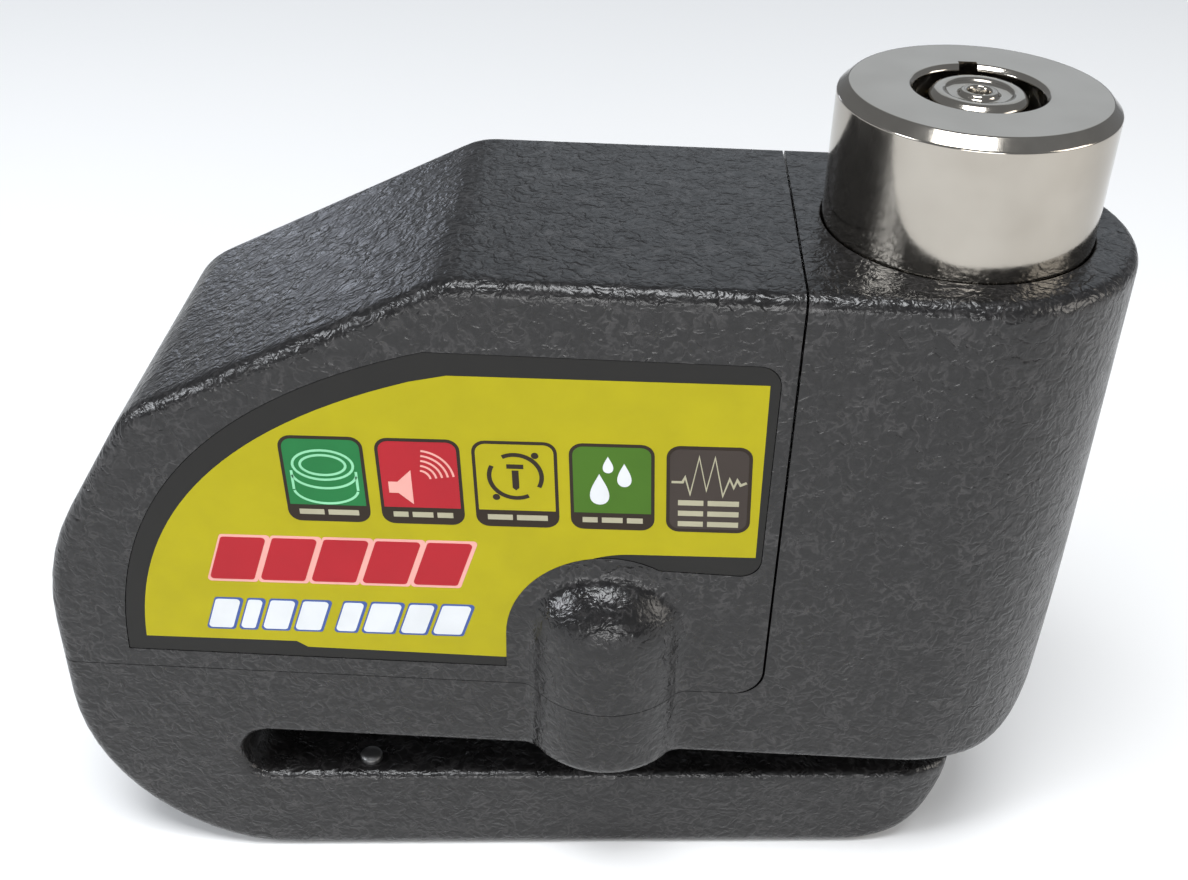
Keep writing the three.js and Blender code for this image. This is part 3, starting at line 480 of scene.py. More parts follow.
class Plates:
    """Thin flat solids that share one mesh, between two levels of Y."""

    def __init__(self, low, high):
        self.low = low
        self.high = high
        self.vertices = []
        self.faces = []

    def shape(self, outline):
        """A filled outline."""
        first, count = len(self.vertices), len(outline)
        for level in (self.low, self.high):
            self.vertices += [(u * MM, level * MM, v * MM) for u, v in outline]
        near = list(range(first, first + count))
        far = [k + count for k in near]
        self.faces += [near, far]
        self.faces += [[near[k - 1], near[k], far[k], far[k - 1]] for k in range(count)]

    def line(self, points, width, closed=False):
        """A line of even width through points."""
        sides = [[], []]
        count = len(points)
        for i, point in enumerate(points):
            here = Vector(point)
            before = Vector(points[i - 1]) if closed or i > 0 else here
            after = Vector(points[(i + 1) % count]) if closed or i < count - 1 else here
            arriving = (here - before).normalized()
            leaving = (after - here).normalized()
            across = Vector((-(arriving + leaving).y, (arriving + leaving).x)).normalized()
            straight = leaving if leaving.length > 0 else arriving
            stretch = 1 / max(0.5, across.dot(Vector((-straight.y, straight.x))))
            for side, sign in zip(sides, (1, -1)):
                side.append(here + across * (sign * stretch * width / 2))
        if not closed:
            self.shape([tuple(p) for p in sides[0] + sides[1][::-1]])
            return
        first = len(self.vertices)
        for level in (self.low, self.high):
            for side in sides:
                self.vertices += [(p.x * MM, level * MM, p.y * MM) for p in side]
        rings = [[first + ring * count + k for k in range(count)] for ring in range(4)]
        for a, b in ((0, 1), (1, 3), (3, 2), (2, 0)):
            one, other = rings[a], rings[b]
            self.faces += [[one[k - 1], one[k], other[k], other[k - 1]] for k in range(count)]

    def mesh(self, name):
        mesh = bpy.data.meshes.new(name)
        mesh.from_pydata(self.vertices, [], self.faces)
        outward(mesh)
        return mesh


def cut_by(thing, *tool_meshes, operation="DIFFERENCE"):
    """Takes closed tool meshes out of an object, or keeps what is inside them, and drops the tools."""
    for mesh in tool_meshes:
        tool = bpy.data.objects.new("tool", mesh)
        bpy.context.scene.collection.objects.link(tool)
        cutter = thing.modifiers.new("cut", "BOOLEAN")
        cutter.operation = operation
        cutter.solver = "MANIFOLD"
        cutter.object = tool
        bpy.context.view_layer.update()
        evaluated = thing.evaluated_get(bpy.context.evaluated_depsgraph_get())
        result = bpy.data.meshes.new_from_object(evaluated)
        thing.modifiers.clear()
        old = thing.data
        thing.data = result
        bpy.data.meshes.remove(old)
        bpy.data.objects.remove(tool)
        bpy.data.meshes.remove(mesh)
    thing.data.set_sharp_from_angle(angle=SMOOTH_ANGLE)


# ---- materials

class Nodes:
    """A material's node tree, with short ways to add and wire nodes."""

    def __init__(self, name):
        self.material = bpy.data.materials.new(name)
        self.material.use_nodes = True
        self.tree = self.material.node_tree
        self.shader = self.tree.nodes["Principled BSDF"]
        self.place = self.tree.nodes.new("ShaderNodeTexCoord").outputs["Object"]

    def set(self, **values):
        for key, value in values.items():
            self.shader.inputs[key.replace("_", " ")].default_value = value
        return self

    def link(self, output, target):
        self.tree.links.new(output, target)

    def add(self, kind, **settings):
        node = self.tree.nodes.new(kind)
        for key, value in settings.items():
            setattr(node, key, value)
        return node

    def noise(self, size_mm, detail=2.0, vector=None, output="Fac"):
        node = self.add("ShaderNodeTexNoise")
        node.inputs["Scale"].default_value = 1 / (size_mm * MM)
        node.inputs["Detail"].default_value = detail
        self.link(vector or self.place, node.inputs["Vector"])
        return node.outputs[output]

    def blobs(self, size_mm, smoothness, vector):
        node = self.add("ShaderNodeTexVoronoi", feature="SMOOTH_F1")
        node.inputs["Scale"].default_value = 1 / (size_mm * MM)
        node.inputs["Smoothness"].default_value = smoothness
        self.link(vector, node.inputs["Vector"])
        return node.outputs["Distance"]

    def ramp(self, factor, *stops):
        """A ramp from (position, value or colour) stops."""
        node = self.add("ShaderNodeValToRGB")
        elements = node.color_ramp.elements
        while len(elements) < len(stops):
            elements.new(0.5)
        for element, (position, value) in zip(elements, stops):
            element.position = position
            element.color = (value, value, value, 1) if isinstance(value, float) else (*value, 1)
        self.link(factor, node.inputs["Fac"])
        return node.outputs["Color"]

    def math(self, operation, a, b):
        node = self.add("ShaderNodeMath", operation=operation)
        for socket, value in zip(node.inputs, (a, b)):
            if isinstance(value, (int, float)):
                socket.default_value = value
            else:
                self.link(value, socket)
        return node.outputs["Value"]

    def bump(self, height, depth_mm, strength):
        node = self.add("ShaderNodeBump")
        node.inputs["Strength"].default_value = strength
        node.inputs["Distance"].default_value = depth_mm * MM
        self.link(height, node.inputs["Height"])
        self.link(node.outputs["Normal"], self.shader.inputs["Normal"])

    def colour(self, output):
        self.link(output, self.shader.inputs["Base Color"])

    def rough(self, output):
        self.link(output, self.shader.inputs["Roughness"])


def near_boss(n):
    """1 on the half-round boss, which is smoother than the rest, and 0 elsewhere."""
    split = n.add("ShaderNodeSeparateXYZ")
    n.link(n.place, split.inputs["Vector"])
    across = n.math("ABSOLUTE", n.math("SUBTRACT", split.outputs["X"], BOSS_X * MM), 0)
    beside = n.math("LESS_THAN", across, (BOSS_RADIUS + 0.5) * MM)
    proud = n.math("LESS_THAN", split.outputs["Y"], (FRONT - 0.25) * MM)
    return n.math("MULTIPLY", beside, proud)


def hammered_paint():
    """Charcoal hammertone paint: crinkled blobs about 1.5 mm across, with a painted highlight in lighter
    colour along the crinkle lines, over random lighter flecks.
    """
    n = Nodes("hammered_paint").set(Metallic=0.12, Specular_IOR_Level=0.5)
    wobble = 2.4 * MM
    warp = n.add("ShaderNodeVectorMath", operation="MULTIPLY_ADD")
    n.link(n.noise(2.2, output="Color"), warp.inputs[0])
    warp.inputs[1].default_value = (wobble, wobble, wobble)
    n.link(n.place, warp.inputs[2])
    warped = warp.outputs["Vector"]
    boss = near_boss(n)
    blobs = n.blobs(1.5, 0.6, warped)
    crinkle = n.math("ABSOLUTE", n.math("SUBTRACT", n.noise(1.3, vector=warped), 0.5), 0)
    grain = n.noise(0.35)
    # Painted highlight: the crinkle lines get a lighter colour, standing in for glints off the wrinkled
    # paint.
    painted_ridge_glint = n.ramp(crinkle, (0.0, 1.0), (0.075, 0.0))
    height = n.math("ADD", n.math("MULTIPLY", blobs, -0.5), n.math("MULTIPLY", crinkle, 2.2))
    height = n.math("MULTIPLY", height, n.math("SUBTRACT", 1.0, n.math("MULTIPLY", boss, 0.3)))
    height = n.math("ADD", height, n.math("MULTIPLY", grain, 0.12))
    patches = n.ramp(n.noise(2.6, 3.0), (0.35, 0.25), (0.65, 1.0))
    # Colour flecks: the painted crinkle highlight, thinned out in patches, plus random lighter flecks of
    # the paint itself.
    flecks_and_glint = n.math("MULTIPLY", painted_ridge_glint, patches)
    flecks_and_glint = n.math("ADD", n.math("MULTIPLY", flecks_and_glint, 0.55), n.math("MULTIPLY", n.noise(0.6, 3.0), 0.6))
    flecks_and_glint = n.math("SUBTRACT", flecks_and_glint, n.math("MULTIPLY", boss, 0.1))
    n.colour(n.ramp(
        flecks_and_glint,
        (0.2, (0.006, 0.0056, 0.0057)),
        (0.45, (0.0115, 0.0108, 0.011)),
        (0.95, (0.04, 0.038, 0.038)),
    ))
    rough = n.ramp(n.noise(2.5, 3.0), (0.3, 0.24), (0.7, 0.34))
    n.rough(n.math("SUBTRACT", rough, n.math("MULTIPLY", boss, 0.03)))
    n.bump(height, 0.17, 0.9)
    return n.material


def polished_steel():
    """Turned and polished steel, with the faintest haze and hairlines."""
    n = Nodes("polished_steel").set(Metallic=1.0)
    haze = n.noise(6.0, 3.0)
    n.colour(n.ramp(haze, (0.3, (0.37, 0.342, 0.3)), (0.7, (0.43, 0.4, 0.355))))
    n.rough(n.ramp(n.noise(1.5, 4.0), (0.3, 0.1), (0.7, 0.17)))
    n.bump(n.noise(0.35), 0.004, 0.5)
    return n.material


def plain_steel(name, shade, rough):
    n = Nodes(name).set(Metallic=1.0)
    grain = n.noise(0.8, 4.0)
    n.colour(n.ramp(grain, (0.3, (shade * 0.85,) * 3), (0.7, (shade * 1.1,) * 3)))
    n.rough(n.ramp(grain, (0.3, rough[0]), (0.7, rough[1])))
    n.bump(n.noise(0.3), 0.01, 0.4)
    return n.material


def plain_metal(name, dark, light):
    n = Nodes(name).set(Metallic=1.0)
    grain = n.noise(1.2, 3.0)
    n.colour(n.ramp(grain, (0.3, dark), (0.7, light)))
    n.rough(n.ramp(grain, (0.3, 0.25), (0.7, 0.4)))
    n.bump(n.noise(0.4), 0.008, 0.4)
    return n.material


def moulded(name, dark, light, rough=(0.5, 0.65), grain_mm=0.5, depth_mm=0.02):
    """A moulded plastic, rubber, laminate or ceramic: slight mottling and a fine surface grain."""
    n = Nodes(name)
    n.colour(n.ramp(n.noise(3.0, 3.0), (0.3, dark), (0.7, light)))
    n.rough(n.ramp(n.noise(1.0, 3.0), (0.3, rough[0]), (0.7, rough[1])))
    n.bump(n.noise(grain_mm), depth_mm, 0.5)
    return n.material


def printed(name, colour):
    """Printing ink on label film: a satin colour, very slightly uneven."""
    n = Nodes(name).set(Specular_IOR_Level=0.2)
    dark = tuple(c * 0.93 for c in colour)
    n.colour(n.ramp(n.noise(4.0, 4.0), (0.35, dark), (0.65, colour)))
    n.rough(n.ramp(n.noise(2.0, 3.0), (0.3, 0.38), (0.7, 0.48)))
    n.bump(n.noise(0.25), 0.004, 0.35)
    return n.material


PAINT = hammered_paint()
CHROME = polished_steel()
STEEL = plain_steel("steel", 0.42, (0.28, 0.42))
HARD_STEEL = plain_steel("hardened_steel", 0.28, (0.3, 0.45))
DULL_STEEL = plain_steel("dull_steel", 0.16, (0.4, 0.55))
BRASS = plain_metal("brass", (0.46, 0.34, 0.13), (0.6, 0.45, 0.2))
COPPER = plain_metal("copper", (0.42, 0.18, 0.09), (0.55, 0.26, 0.14))
RUBBER = moulded("rubber", (0.009, 0.009, 0.01), (0.018, 0.018, 0.019), (0.6, 0.8))
BLACK_PLASTIC = moulded("black_plastic", (0.015, 0.015, 0.016), (0.028, 0.028, 0.03))
LAMINATE = moulded("board_laminate", (0.012, 0.1, 0.035), (0.02, 0.15, 0.055), (0.3, 0.4), 0.8, 0.01)
CERAMIC = moulded("ceramic", (0.55, 0.5, 0.4), (0.66, 0.61, 0.5), (0.4, 0.55))
INK_BORDER = printed("ink_border", (0.014, 0.0135, 0.0125))
INK_YELLOW = printed("ink_yellow", (0.36, 0.315, 0.002))
INK_BLACK = printed("ink_black", (0.022, 0.014, 0.008))
INK_GREEN = printed("ink_green", (0.012, 0.15, 0.04))
INK_RED = printed("ink_red", (0.36, 0.012, 0.02))
INK_WHITE = printed("ink_white", (0.62, 0.64, 0.66))
INK_BLUE = printed("ink_blue", (0.05, 0.09, 0.28))
INK_MINT = printed("ink_mint", (0.24, 0.58, 0.34))
INK_LEAF = printed("ink_leaf", (0.05, 0.13, 0.009))
INK_BROWN = printed("ink_brown", (0.042, 0.032, 0.027))
INK_PINK = printed("ink_pink", (0.7, 0.34, 0.3))
INK_CREAM = printed("ink_cream", (0.36, 0.34, 0.24))

NODE_MATERIALS = {
    "steel": STEEL,
    "hammered_paint": PAINT,
    "polished_steel": CHROME,
    "hardened_steel": HARD_STEEL,
    "brass": BRASS,
    "copper": COPPER,
    "rubber": RUBBER,
    "black_plastic": BLACK_PLASTIC,
    "board_laminate": LAMINATE,
    "ceramic": CERAMIC,
    "label_film": INK_BORDER,
}


def finish_cad_nodes():
    """Every carried-over CAD node gets its slot's material."""
    for row in frame["record"]["subparts"]:
        node = frame["nodes"][row["node"]]
        node.data.materials.clear()
        node.data.materials.append(NODE_MATERIALS[row["material_slot"]])


# ---- body and cover

def label_outline(grow):
    """The outline that the label and its recess share, in X-Z."""
    left = -44.2 - grow
    right = LOCK_X - 16.8 + grow
    bottom = 29.4 - grow
    top = 65.4 + grow
    step = 42.4 - grow
    arch = BOSS_RADIUS + 1.4 - grow
    arch_end = math.degrees(1.06 + grow * 0.02)
    corner = 2.0
    points = [(left, bottom), (BOSS_X - arch, bottom)]
    points += arc(BOSS_X, BOSS_DOME_Z - 1, arch, arch, 180, arch_end)
    points += arc(right - corner, step + corner, corner, corner, -90, 0, 8)
    points += arc(right - corner, top - corner, corner, corner, 0, 90, 8)
    return points + curve((-13.0, top), (-35.0 - grow, 59.2 + grow), (-44.0 - grow, 46.0), (left, bottom))


def cover_space(upright, level):
    """The space left of the column and above the strip, as a prism through the whole depth."""
    right, bottom = SEAM_X - upright, SEAM_Z + level
    far_left, far_up, half_depth = -90, 120, 40
    outline = rounded_outline([
        (far_left, bottom, 0),
        (right, bottom, SEAM_CORNER),
        (right, far_up, 0),
        (far_left, far_up, 0),
    ])
    return prism_mesh("cover_space", outline, -half_depth, half_depth)


def upright_bar(x, y, radius, low, high, sides=48):
    return prism_mesh("bar", round_outline(x, y, radius, sides), low, high, "z")


def bore_mesh():
    """The barrel's bore, eased at its mouth, with the groove for the wiper ring."""
    ease = 0.2
    mouth = BARREL_RADIUS + 0.16
    above = BODY_TOP + 2
    profile = [
        (0, BORE_FLOOR),
        (BORE_RADIUS, BORE_FLOOR),
        (BORE_RADIUS, GROOVE_FOOT),
        (GROOVE_RADIUS, GROOVE_FOOT),
        (GROOVE_RADIUS, GROOVE_TOP),
        (mouth, GROOVE_TOP),
    ]
    profile += arc(mouth + ease, BODY_TOP - ease, ease, ease, 180, 90, 4)
    profile += [(mouth + ease, above), (0, above)]
    return turned_mesh("bore", LOCK_X, MID_Y, profile, 160)


def build_body(envelope):
    body = new_object("body_casting", envelope, PAINT)
    stud_x, stud_y = middle_mm("slot_stud")[:2]
    bolt_low, bolt_high = box_mm("latch_bolt")
    beside, above, bolt_throw = 0.6, 0.3, 1.9
    pockets = [
        box_mesh(
            "pocket",
            (LOCK_X, bolt_low[1] - beside, bolt_low[2] - drop - above),
            (LOCK_X + BORE_RADIUS + bolt_throw, bolt_high[1] + beside, bolt_high[2] - drop + above),
        )
        for drop in (0, TRAVEL)
    ]
    plunger_low, plunger_high = box_mm("switch_plunger")
    room = 0.5
    plunger_passage = box_mesh(
        "plunger_passage",
        (SEAM_X - 2, plunger_low[1] - room, plunger_low[2] - room),
        (LOCK_X - BORE_RADIUS + 3, plunger_high[1] + room, plunger_high[2] + room),
    )
    cut_by(
        body,
        cover_space(0, 0),
        bore_mesh(),
        upright_bar(LOCK_X, MID_Y, BUSH_SEAT_RADIUS, SLOT_ROOF - 5, BORE_FLOOR + 1),
        upright_bar(LOCK_X, MID_Y, BUSH_SEAT_RADIUS, JAW_SEAT_FLOOR, SLOT_FLOOR + 2),
        upright_bar(LOCK_X, ROD_Y, ROD_SEAT_RADIUS, BORE_FLOOR - 4, BORE_FLOOR + 1),
        upright_bar(BOSS_X, SCREW_Y, SCREW_HEAD_SEAT_RADIUS, SLOT_ROOF - 2, SLOT_ROOF + 4.7),
        upright_bar(BOSS_X, SCREW_Y, SCREW_HOLE_RADIUS, SLOT_ROOF, SEAM_Z + 2),
        upright_bar(stud_x, stud_y, STUD_SEAT_RADIUS, SLOT_FLOOR - 2.5, SLOT_FLOOR + 1),
        plunger_passage,
        *pockets,
    )
    finish_piece(body, replaces=("main_body",))


def inner_outline():
    """The inside of the cover's wall, in X-Z, running on past its open right side."""
    right, bottom = SEAM_X + 4, SEAM_Z - 8
    return rounded_outline([
        (LEFT + WALL, bottom, 0),
        (right, bottom, 0),
        (right, BODY_TOP - WALL, 0),
        (TOP_BEND[0] + 0.6, BODY_TOP - WALL, 8),
        (SHOULDER[0] + WALL, SHOULDER[1] - WALL * 0.6, 6),
        (LEFT + WALL, STEEP_FOOT_Z, 28),
    ])


def build_cover(envelope):
    cover = new_object("siren_cover", envelope, PAINT)
    siren_x, _, siren_z = middle_mm("siren_cup")
    places = [(siren_x, siren_z)] + round_outline(siren_x, siren_z, SOUND_HOLE_CIRCLE, 6)
    holes = [
        prism_mesh("hole", round_outline(x, z, SOUND_HOLE_RADIUS, 24), BACK - WALL - 1, BACK + 1)
        for x, z in places
    ]
    hollow = new_object("hollow", prism_mesh("hollow", inner_outline(), FRONT + WALL, BACK - WALL), PAINT)
    screw_pad = box_mesh("pad", (BOSS_X - 5, FRONT, SEAM_Z - 9), (BOSS_X + 5, SCREW_Y + 4.2, 41))
    cut_by(hollow, screw_pad)
    cut_by(cover, cover_space(UPRIGHT_SEAM, LEVEL_SEAM), operation="INTERSECT")
    cut_by(
        cover,
        hollow.data.copy(),
        prism_mesh("label_recess", label_outline(RECESS_MARGIN), FRONT - 1, FRONT + RECESS_DEPTH),
        upright_bar(BOSS_X, SCREW_Y, SCREW_HOLE_RADIUS, SEAM_Z - 1, 37.5),
        *holes,
    )
    bpy.data.objects.remove(hollow)
    finish_piece(cover, replaces=("alarm_cover",))


# ---- label: film and printed inks

INK_STEP = 0.02
TILES = 5
TILE_PITCH = 8.93
TILE_WIDTH = 7.85
TILE_HEIGHT = 9.7
TILE_LEAN = -0.045  # the artwork is printed leaning a little, so upright lines move left going up
ROW_SLOPE = 0.02
TILE_LEFT = -26.4
TILE_BOTTOM = 46.5
STRIP_TOP = 0.8  # the caption strip starts this far down each tile
BLOCK_LEAN = 0.32
BLOCK_CORNER = 0.35


def ink_plates(layer):
    """Plates for one layer of ink, each layer standing a little proud of the one below."""
    return Plates(LABEL_FACE - INK_STEP * layer, LABEL_FACE + 0.1)


def print_ink(name, plates, ink):
    finish_piece(new_object(name, plates.mesh(name), ink))


def tile_point(k, u, v):
    """A place on tile k: u from its left edge and v from its top, as shares of the tile."""
    across = TILE_PITCH * k + TILE_WIDTH * u
    up = TILE_HEIGHT * (1 - v)
    return TILE_LEFT + across + TILE_LEAN * up, TILE_BOTTOM + ROW_SLOPE * across + up


def tile_points(k, points):
    return [tile_point(k, u, v) for u, v in points]


def tile_panel(k, inset, top, bottom, radius, foot_radius):
    left, right = inset / TILE_WIDTH, 1 - inset / TILE_WIDTH
    corners = [
        (*tile_point(k, left, top), radius),
        (*tile_point(k, right, top), radius),
        (*tile_point(k, right, bottom), foot_radius),
        (*tile_point(k, left, bottom), foot_radius),
    ]
    return rounded_outline(corners, 0.3)


def yellow_field_outline():
    """Up along the sweep, across the top, and down round the boss to a foot with a small step."""
    foot = (-5.4, 30.4)
    points = curve((-42.4, 31.0), (-41.8, 45.0), (-33.5, 57.0), (-12.4, 63.1))
    points += [(-11.0, 63.3), (17.65, 63.7), (18.0, 44.5)]
    points += curve((6.2, 44.2), (-0.5, 44.0), (-4.9, 38.5), foot)
    return points + [foot, (-26.0, 30.5), (-27.1, 31.2)]


def slanted_block(left, bottom, width, height):
    """One block of a row, whose foot follows the row's slope."""
    lean = BLOCK_LEAN * height
    corners = [
        (left, bottom),
        (left + width, bottom),
        (left + width + lean, bottom + height),
        (left + lean, bottom + height),
    ]
    return rounded_outline([(u, v + ROW_SLOPE * u, BLOCK_CORNER) for u, v in corners], 0.4)


def drop_outline(k, u, v, width, height):
    """A water drop: round below, drawn to a point on top."""
    points = []
    steps = 28
    for i in range(steps):
        angle = 2 * math.pi * i / steps
        narrow = math.sin(angle) * math.sin(angle / 2) ** 1.4
        points.append((u + width * 0.62 * narrow, v - height / 2 * math.cos(angle)))
    return tile_points(k, points)


def build_label():
    film_back = box_mm("label_sticker")[1][1]
    film_mesh = prism_mesh("label_film", label_outline(FILM_MARGIN), LABEL_FACE, film_back)
    film = new_object("label_film", film_mesh, INK_BORDER)
    finish_piece(film, replaces=("label_sticker",))

    field = ink_plates(1)
    field.shape(yellow_field_outline())
    print_ink("label_yellow", field, INK_YELLOW)

    frames = ink_plates(2)
    for k in range(TILES):
        frames.shape(tile_panel(k, 0, 0, 1, 1.25, 1.25))
    print_ink("label_tile_frames", frames, INK_BLACK)

    panels = (
        ("label_cell_panel", INK_GREEN),
        ("label_siren_panel", INK_RED),
        ("label_pin_panel", INK_YELLOW),
        ("label_water_panel", INK_LEAF),
        ("label_motion_panel", INK_BROWN),
    )
    for k, (name, ink) in enumerate(panels):
        panel = ink_plates(3)
        foot, foot_radius = (0.96, 0.95) if k == TILES - 1 else (STRIP_TOP, 0)
        panel.shape(tile_panel(k, 0.32, 0.035, foot, 0.95, foot_radius))
        print_ink(name, panel, ink)
    build_cell_icon()
    build_siren_icon()
    build_pin_icon()
    build_water_icon()
    build_motion_icon()
    build_caption_bars()
    build_stripes()


def build_cell_icon():
    """A button cell in line drawing."""
    icon = ink_plates(4)
    width = 0.24
    for radius_u, radius_v in ((0.36, 0.17), (0.27, 0.115)):
        icon.line(tile_points(0, arc(0.5, 0.33, radius_u, radius_v, 0, 360, 36)[:-1]), width, closed=True)
    for depth in (0.08, 0.26):
        icon.line(tile_points(0, arc(0.5, 0.35 + depth, 0.385, 0.17, 8, 172)), width)
    for side in (-1, 1):
        icon.line(tile_points(0, [(0.5 + side * 0.385, 0.4), (0.5 + side * 0.385, 0.62)]), width)
    print_ink("label_cell_icon", icon, INK_MINT)


def build_siren_icon():
    """A small horn with sound waves."""
    icon = ink_plates(4)
    for radius in (0.13, 0.2, 0.27, 0.34, 0.41):
        icon.line(tile_points(1, arc(0.5, 0.47, radius, -radius * 0.82, 8, 84)), 0.2)
    horn = [(0.12, 0.5), (0.23, 0.5), (0.4, 0.36), (0.4, 0.76), (0.23, 0.63), (0.12, 0.63)]
    icon.shape(tile_points(1, horn))
    print_ink("label_siren_icon", icon, INK_PINK)


def build_pin_icon():
    """A lock pin inside a broken ring with a dot at each gap."""
    icon = ink_plates(4)
    for first, last in ((-28, 118), (152, 298)):
        icon.line(tile_points(2, arc(0.5, 0.4, 0.31, -0.25, first, last)), 0.42)
    for u, v in ((0.74, 0.155), (0.26, 0.645)):
        dot = [(u + 0.045 * math.cos(a / 2), v + 0.036 * math.sin(a / 2)) for a in range(12)]
        icon.shape(tile_points(2, dot))
    icon.shape(tile_points(2, [(0.46, 0.33), (0.54, 0.33), (0.54, 0.53), (0.5, 0.56), (0.46, 0.53)]))
    icon.shape(tile_points(2, [(0.4, 0.26), (0.6, 0.26), (0.6, 0.31), (0.4, 0.31)]))
    print_ink("label_pin_icon", icon, INK_BLACK)


def build_water_icon():
    icon = ink_plates(4)
    icon.shape(drop_outline(3, 0.35, 0.52, 0.26, 0.36))
    icon.shape(drop_outline(3, 0.455, 0.235, 0.14, 0.19))
    icon.shape(drop_outline(3, 0.645, 0.35, 0.19, 0.27))
    print_ink("label_water_icon", icon, INK_WHITE)


def build_motion_icon():
    """A shock trace."""
    icon = ink_plates(4)
    trace = [
        (0.06, 0.41), (0.19, 0.41), (0.22, 0.35), (0.28, 0.55), (0.38, 0.12), (0.47, 0.5), (0.565, 0.12),
        (0.665, 0.56), (0.74, 0.36), (0.79, 0.46), (0.83, 0.37), (0.87, 0.43), (0.94, 0.4),
    ]
    icon.line(tile_points(4, trace), 0.25)
    print_ink("label_motion_icon", icon, INK_CREAM)


def build_caption_bars():
    """Plain dashes where the tiles have their captions."""
    bars = ink_plates(4)
    half = 0.03
    dashes = ((0.14, 0.44), (0.49, 0.86)), ((0.14, 0.32), (0.37, 0.62), (0.67, 0.86))
    rows = [(k, 0.885) for k in range(TILES - 1)] + [(TILES - 1, v) for v in (0.65, 0.775, 0.9)]
    for k, v in rows:
        for start, end in dashes[k % 2]:
            bar = [(start, v - half), (end, v - half), (end, v + half), (start, v + half)]
            bars.shape(tile_points(k, bar))
    print_ink("label_caption_bars", bars, INK_CREAM)


def block_row(left, bottom, height, widths, gap, rim):
    """Plates of a row of blocks and of the rim that shows round each. A width of 0 leaves a wider gap."""
    rims, blocks = ink_plates(2), ink_plates(3)
    for width in widths:
        if width:
            rims.shape(slanted_block(left - rim, bottom - rim, width + 2 * rim, height + 2 * rim))
            blocks.shape(slanted_block(left, bottom, width, height))
        left += width + gap
    return rims, blocks


def build_stripes():
    """Two rows of slanted blocks below the tiles: red with pale rims, and white with blue rims."""
    rims, blocks = block_row(-35.0, 39.6, 5.2, [4.4] * 5, 0.6, 0.3)
    print_ink("label_red_edges", rims, INK_PINK)
    print_ink("label_red_blocks", blocks, INK_RED)
    widths = 2.5, 1.5, 2.5, 2.6, 0, 2.0, 3.0, 2.5, 2.9
    rims, blocks = block_row(-35.9, 33.3, 3.7, widths, 0.75, 0.22)
    print_ink("label_blue_edges", rims, INK_BLUE)
    print_ink("label_white_blocks", blocks, INK_WHITE)


# ---- barrel, plug, stud, other turned parts

def eased(corners, radius=0.12):
    """A turned profile with each corner eased by a tiny arc, with the flats held true beside it."""
    steps = 3
    closed = corners[0] == corners[-1]
    points = corners[:-1] if closed else corners
    result = []
    for i, point in enumerate(points):
        if not closed and i in (0, len(points) - 1):
            result.append(point)
            continue
        here = Vector(point)
        before = Vector(points[i - 1]) - here
        after = Vector(points[(i + 1) % len(points)]) - here
        reach = min(radius, before.length * 0.4, after.length * 0.4)
        start = here + before.normalized() * reach
        end = here + after.normalized() * reach
        result.append(tuple(start + before.normalized() * reach * 0.3))
        for k in range(steps + 1):
            t = k / steps
            result.append(tuple(start * (1 - t) ** 2 + here * 2 * t * (1 - t) + end * t ** 2))
        result.append(tuple(end + after.normalized() * reach * 0.3))
    if closed:
        result.append(result[0])
    return result


def build_barrel():
    chamfer = 1.0
    shelf = BARREL_TOP - KEYWAY_WALL
    profile = eased([
        (SLEEVE_BORE, BARREL_FOOT),
        (BARREL_FACE, BARREL_FOOT),
        (BARREL_FACE, BARREL_TOP - chamfer),
        (BARREL_FACE - chamfer, BARREL_TOP),
        (KEYWAY_RADIUS + KEYWAY_LIP, BARREL_TOP),
        (KEYWAY_RADIUS, BARREL_TOP - KEYWAY_LIP),
        (KEYWAY_RADIUS, shelf),
        (SLEEVE_BORE, shelf),
        (SLEEVE_BORE, BARREL_FOOT),
    ])
    barrel = new_object("push_barrel", turned_mesh("push_barrel", LOCK_X, MID_Y, profile, 192), CHROME)
    notch_half = 0.85
    notch = box_mesh(
        "key_notch",
        (LOCK_X - notch_half, MID_Y + 3, shelf - 0.5),
        (LOCK_X + notch_half, MID_Y + KEYWAY_RADIUS + 1, BARREL_TOP + 1),
    )
    flank = LOCK_X - BARREL_RADIUS
    ramp_foot, ramp_top, ramp_half = BARREL_FOOT - 1, BODY_TOP - 0.6, 3
    ramp = prism_mesh("switch_ramp", [
        (flank - 2, ramp_foot),
        (flank + 1.88, ramp_foot),
        (flank + 0.29, ramp_top),
        (flank - 2, ramp_top),
    ], MID_Y - ramp_half, MID_Y + ramp_half)
    rod_hole = upright_bar(LOCK_X, ROD_Y, ROD_HOLE_RADIUS, BARREL_FOOT - 1, BARREL_FOOT + 5)
    cut_by(barrel, notch, ramp, rod_hole)
    finish_piece(barrel, "barrel", ("lock_barrel",))


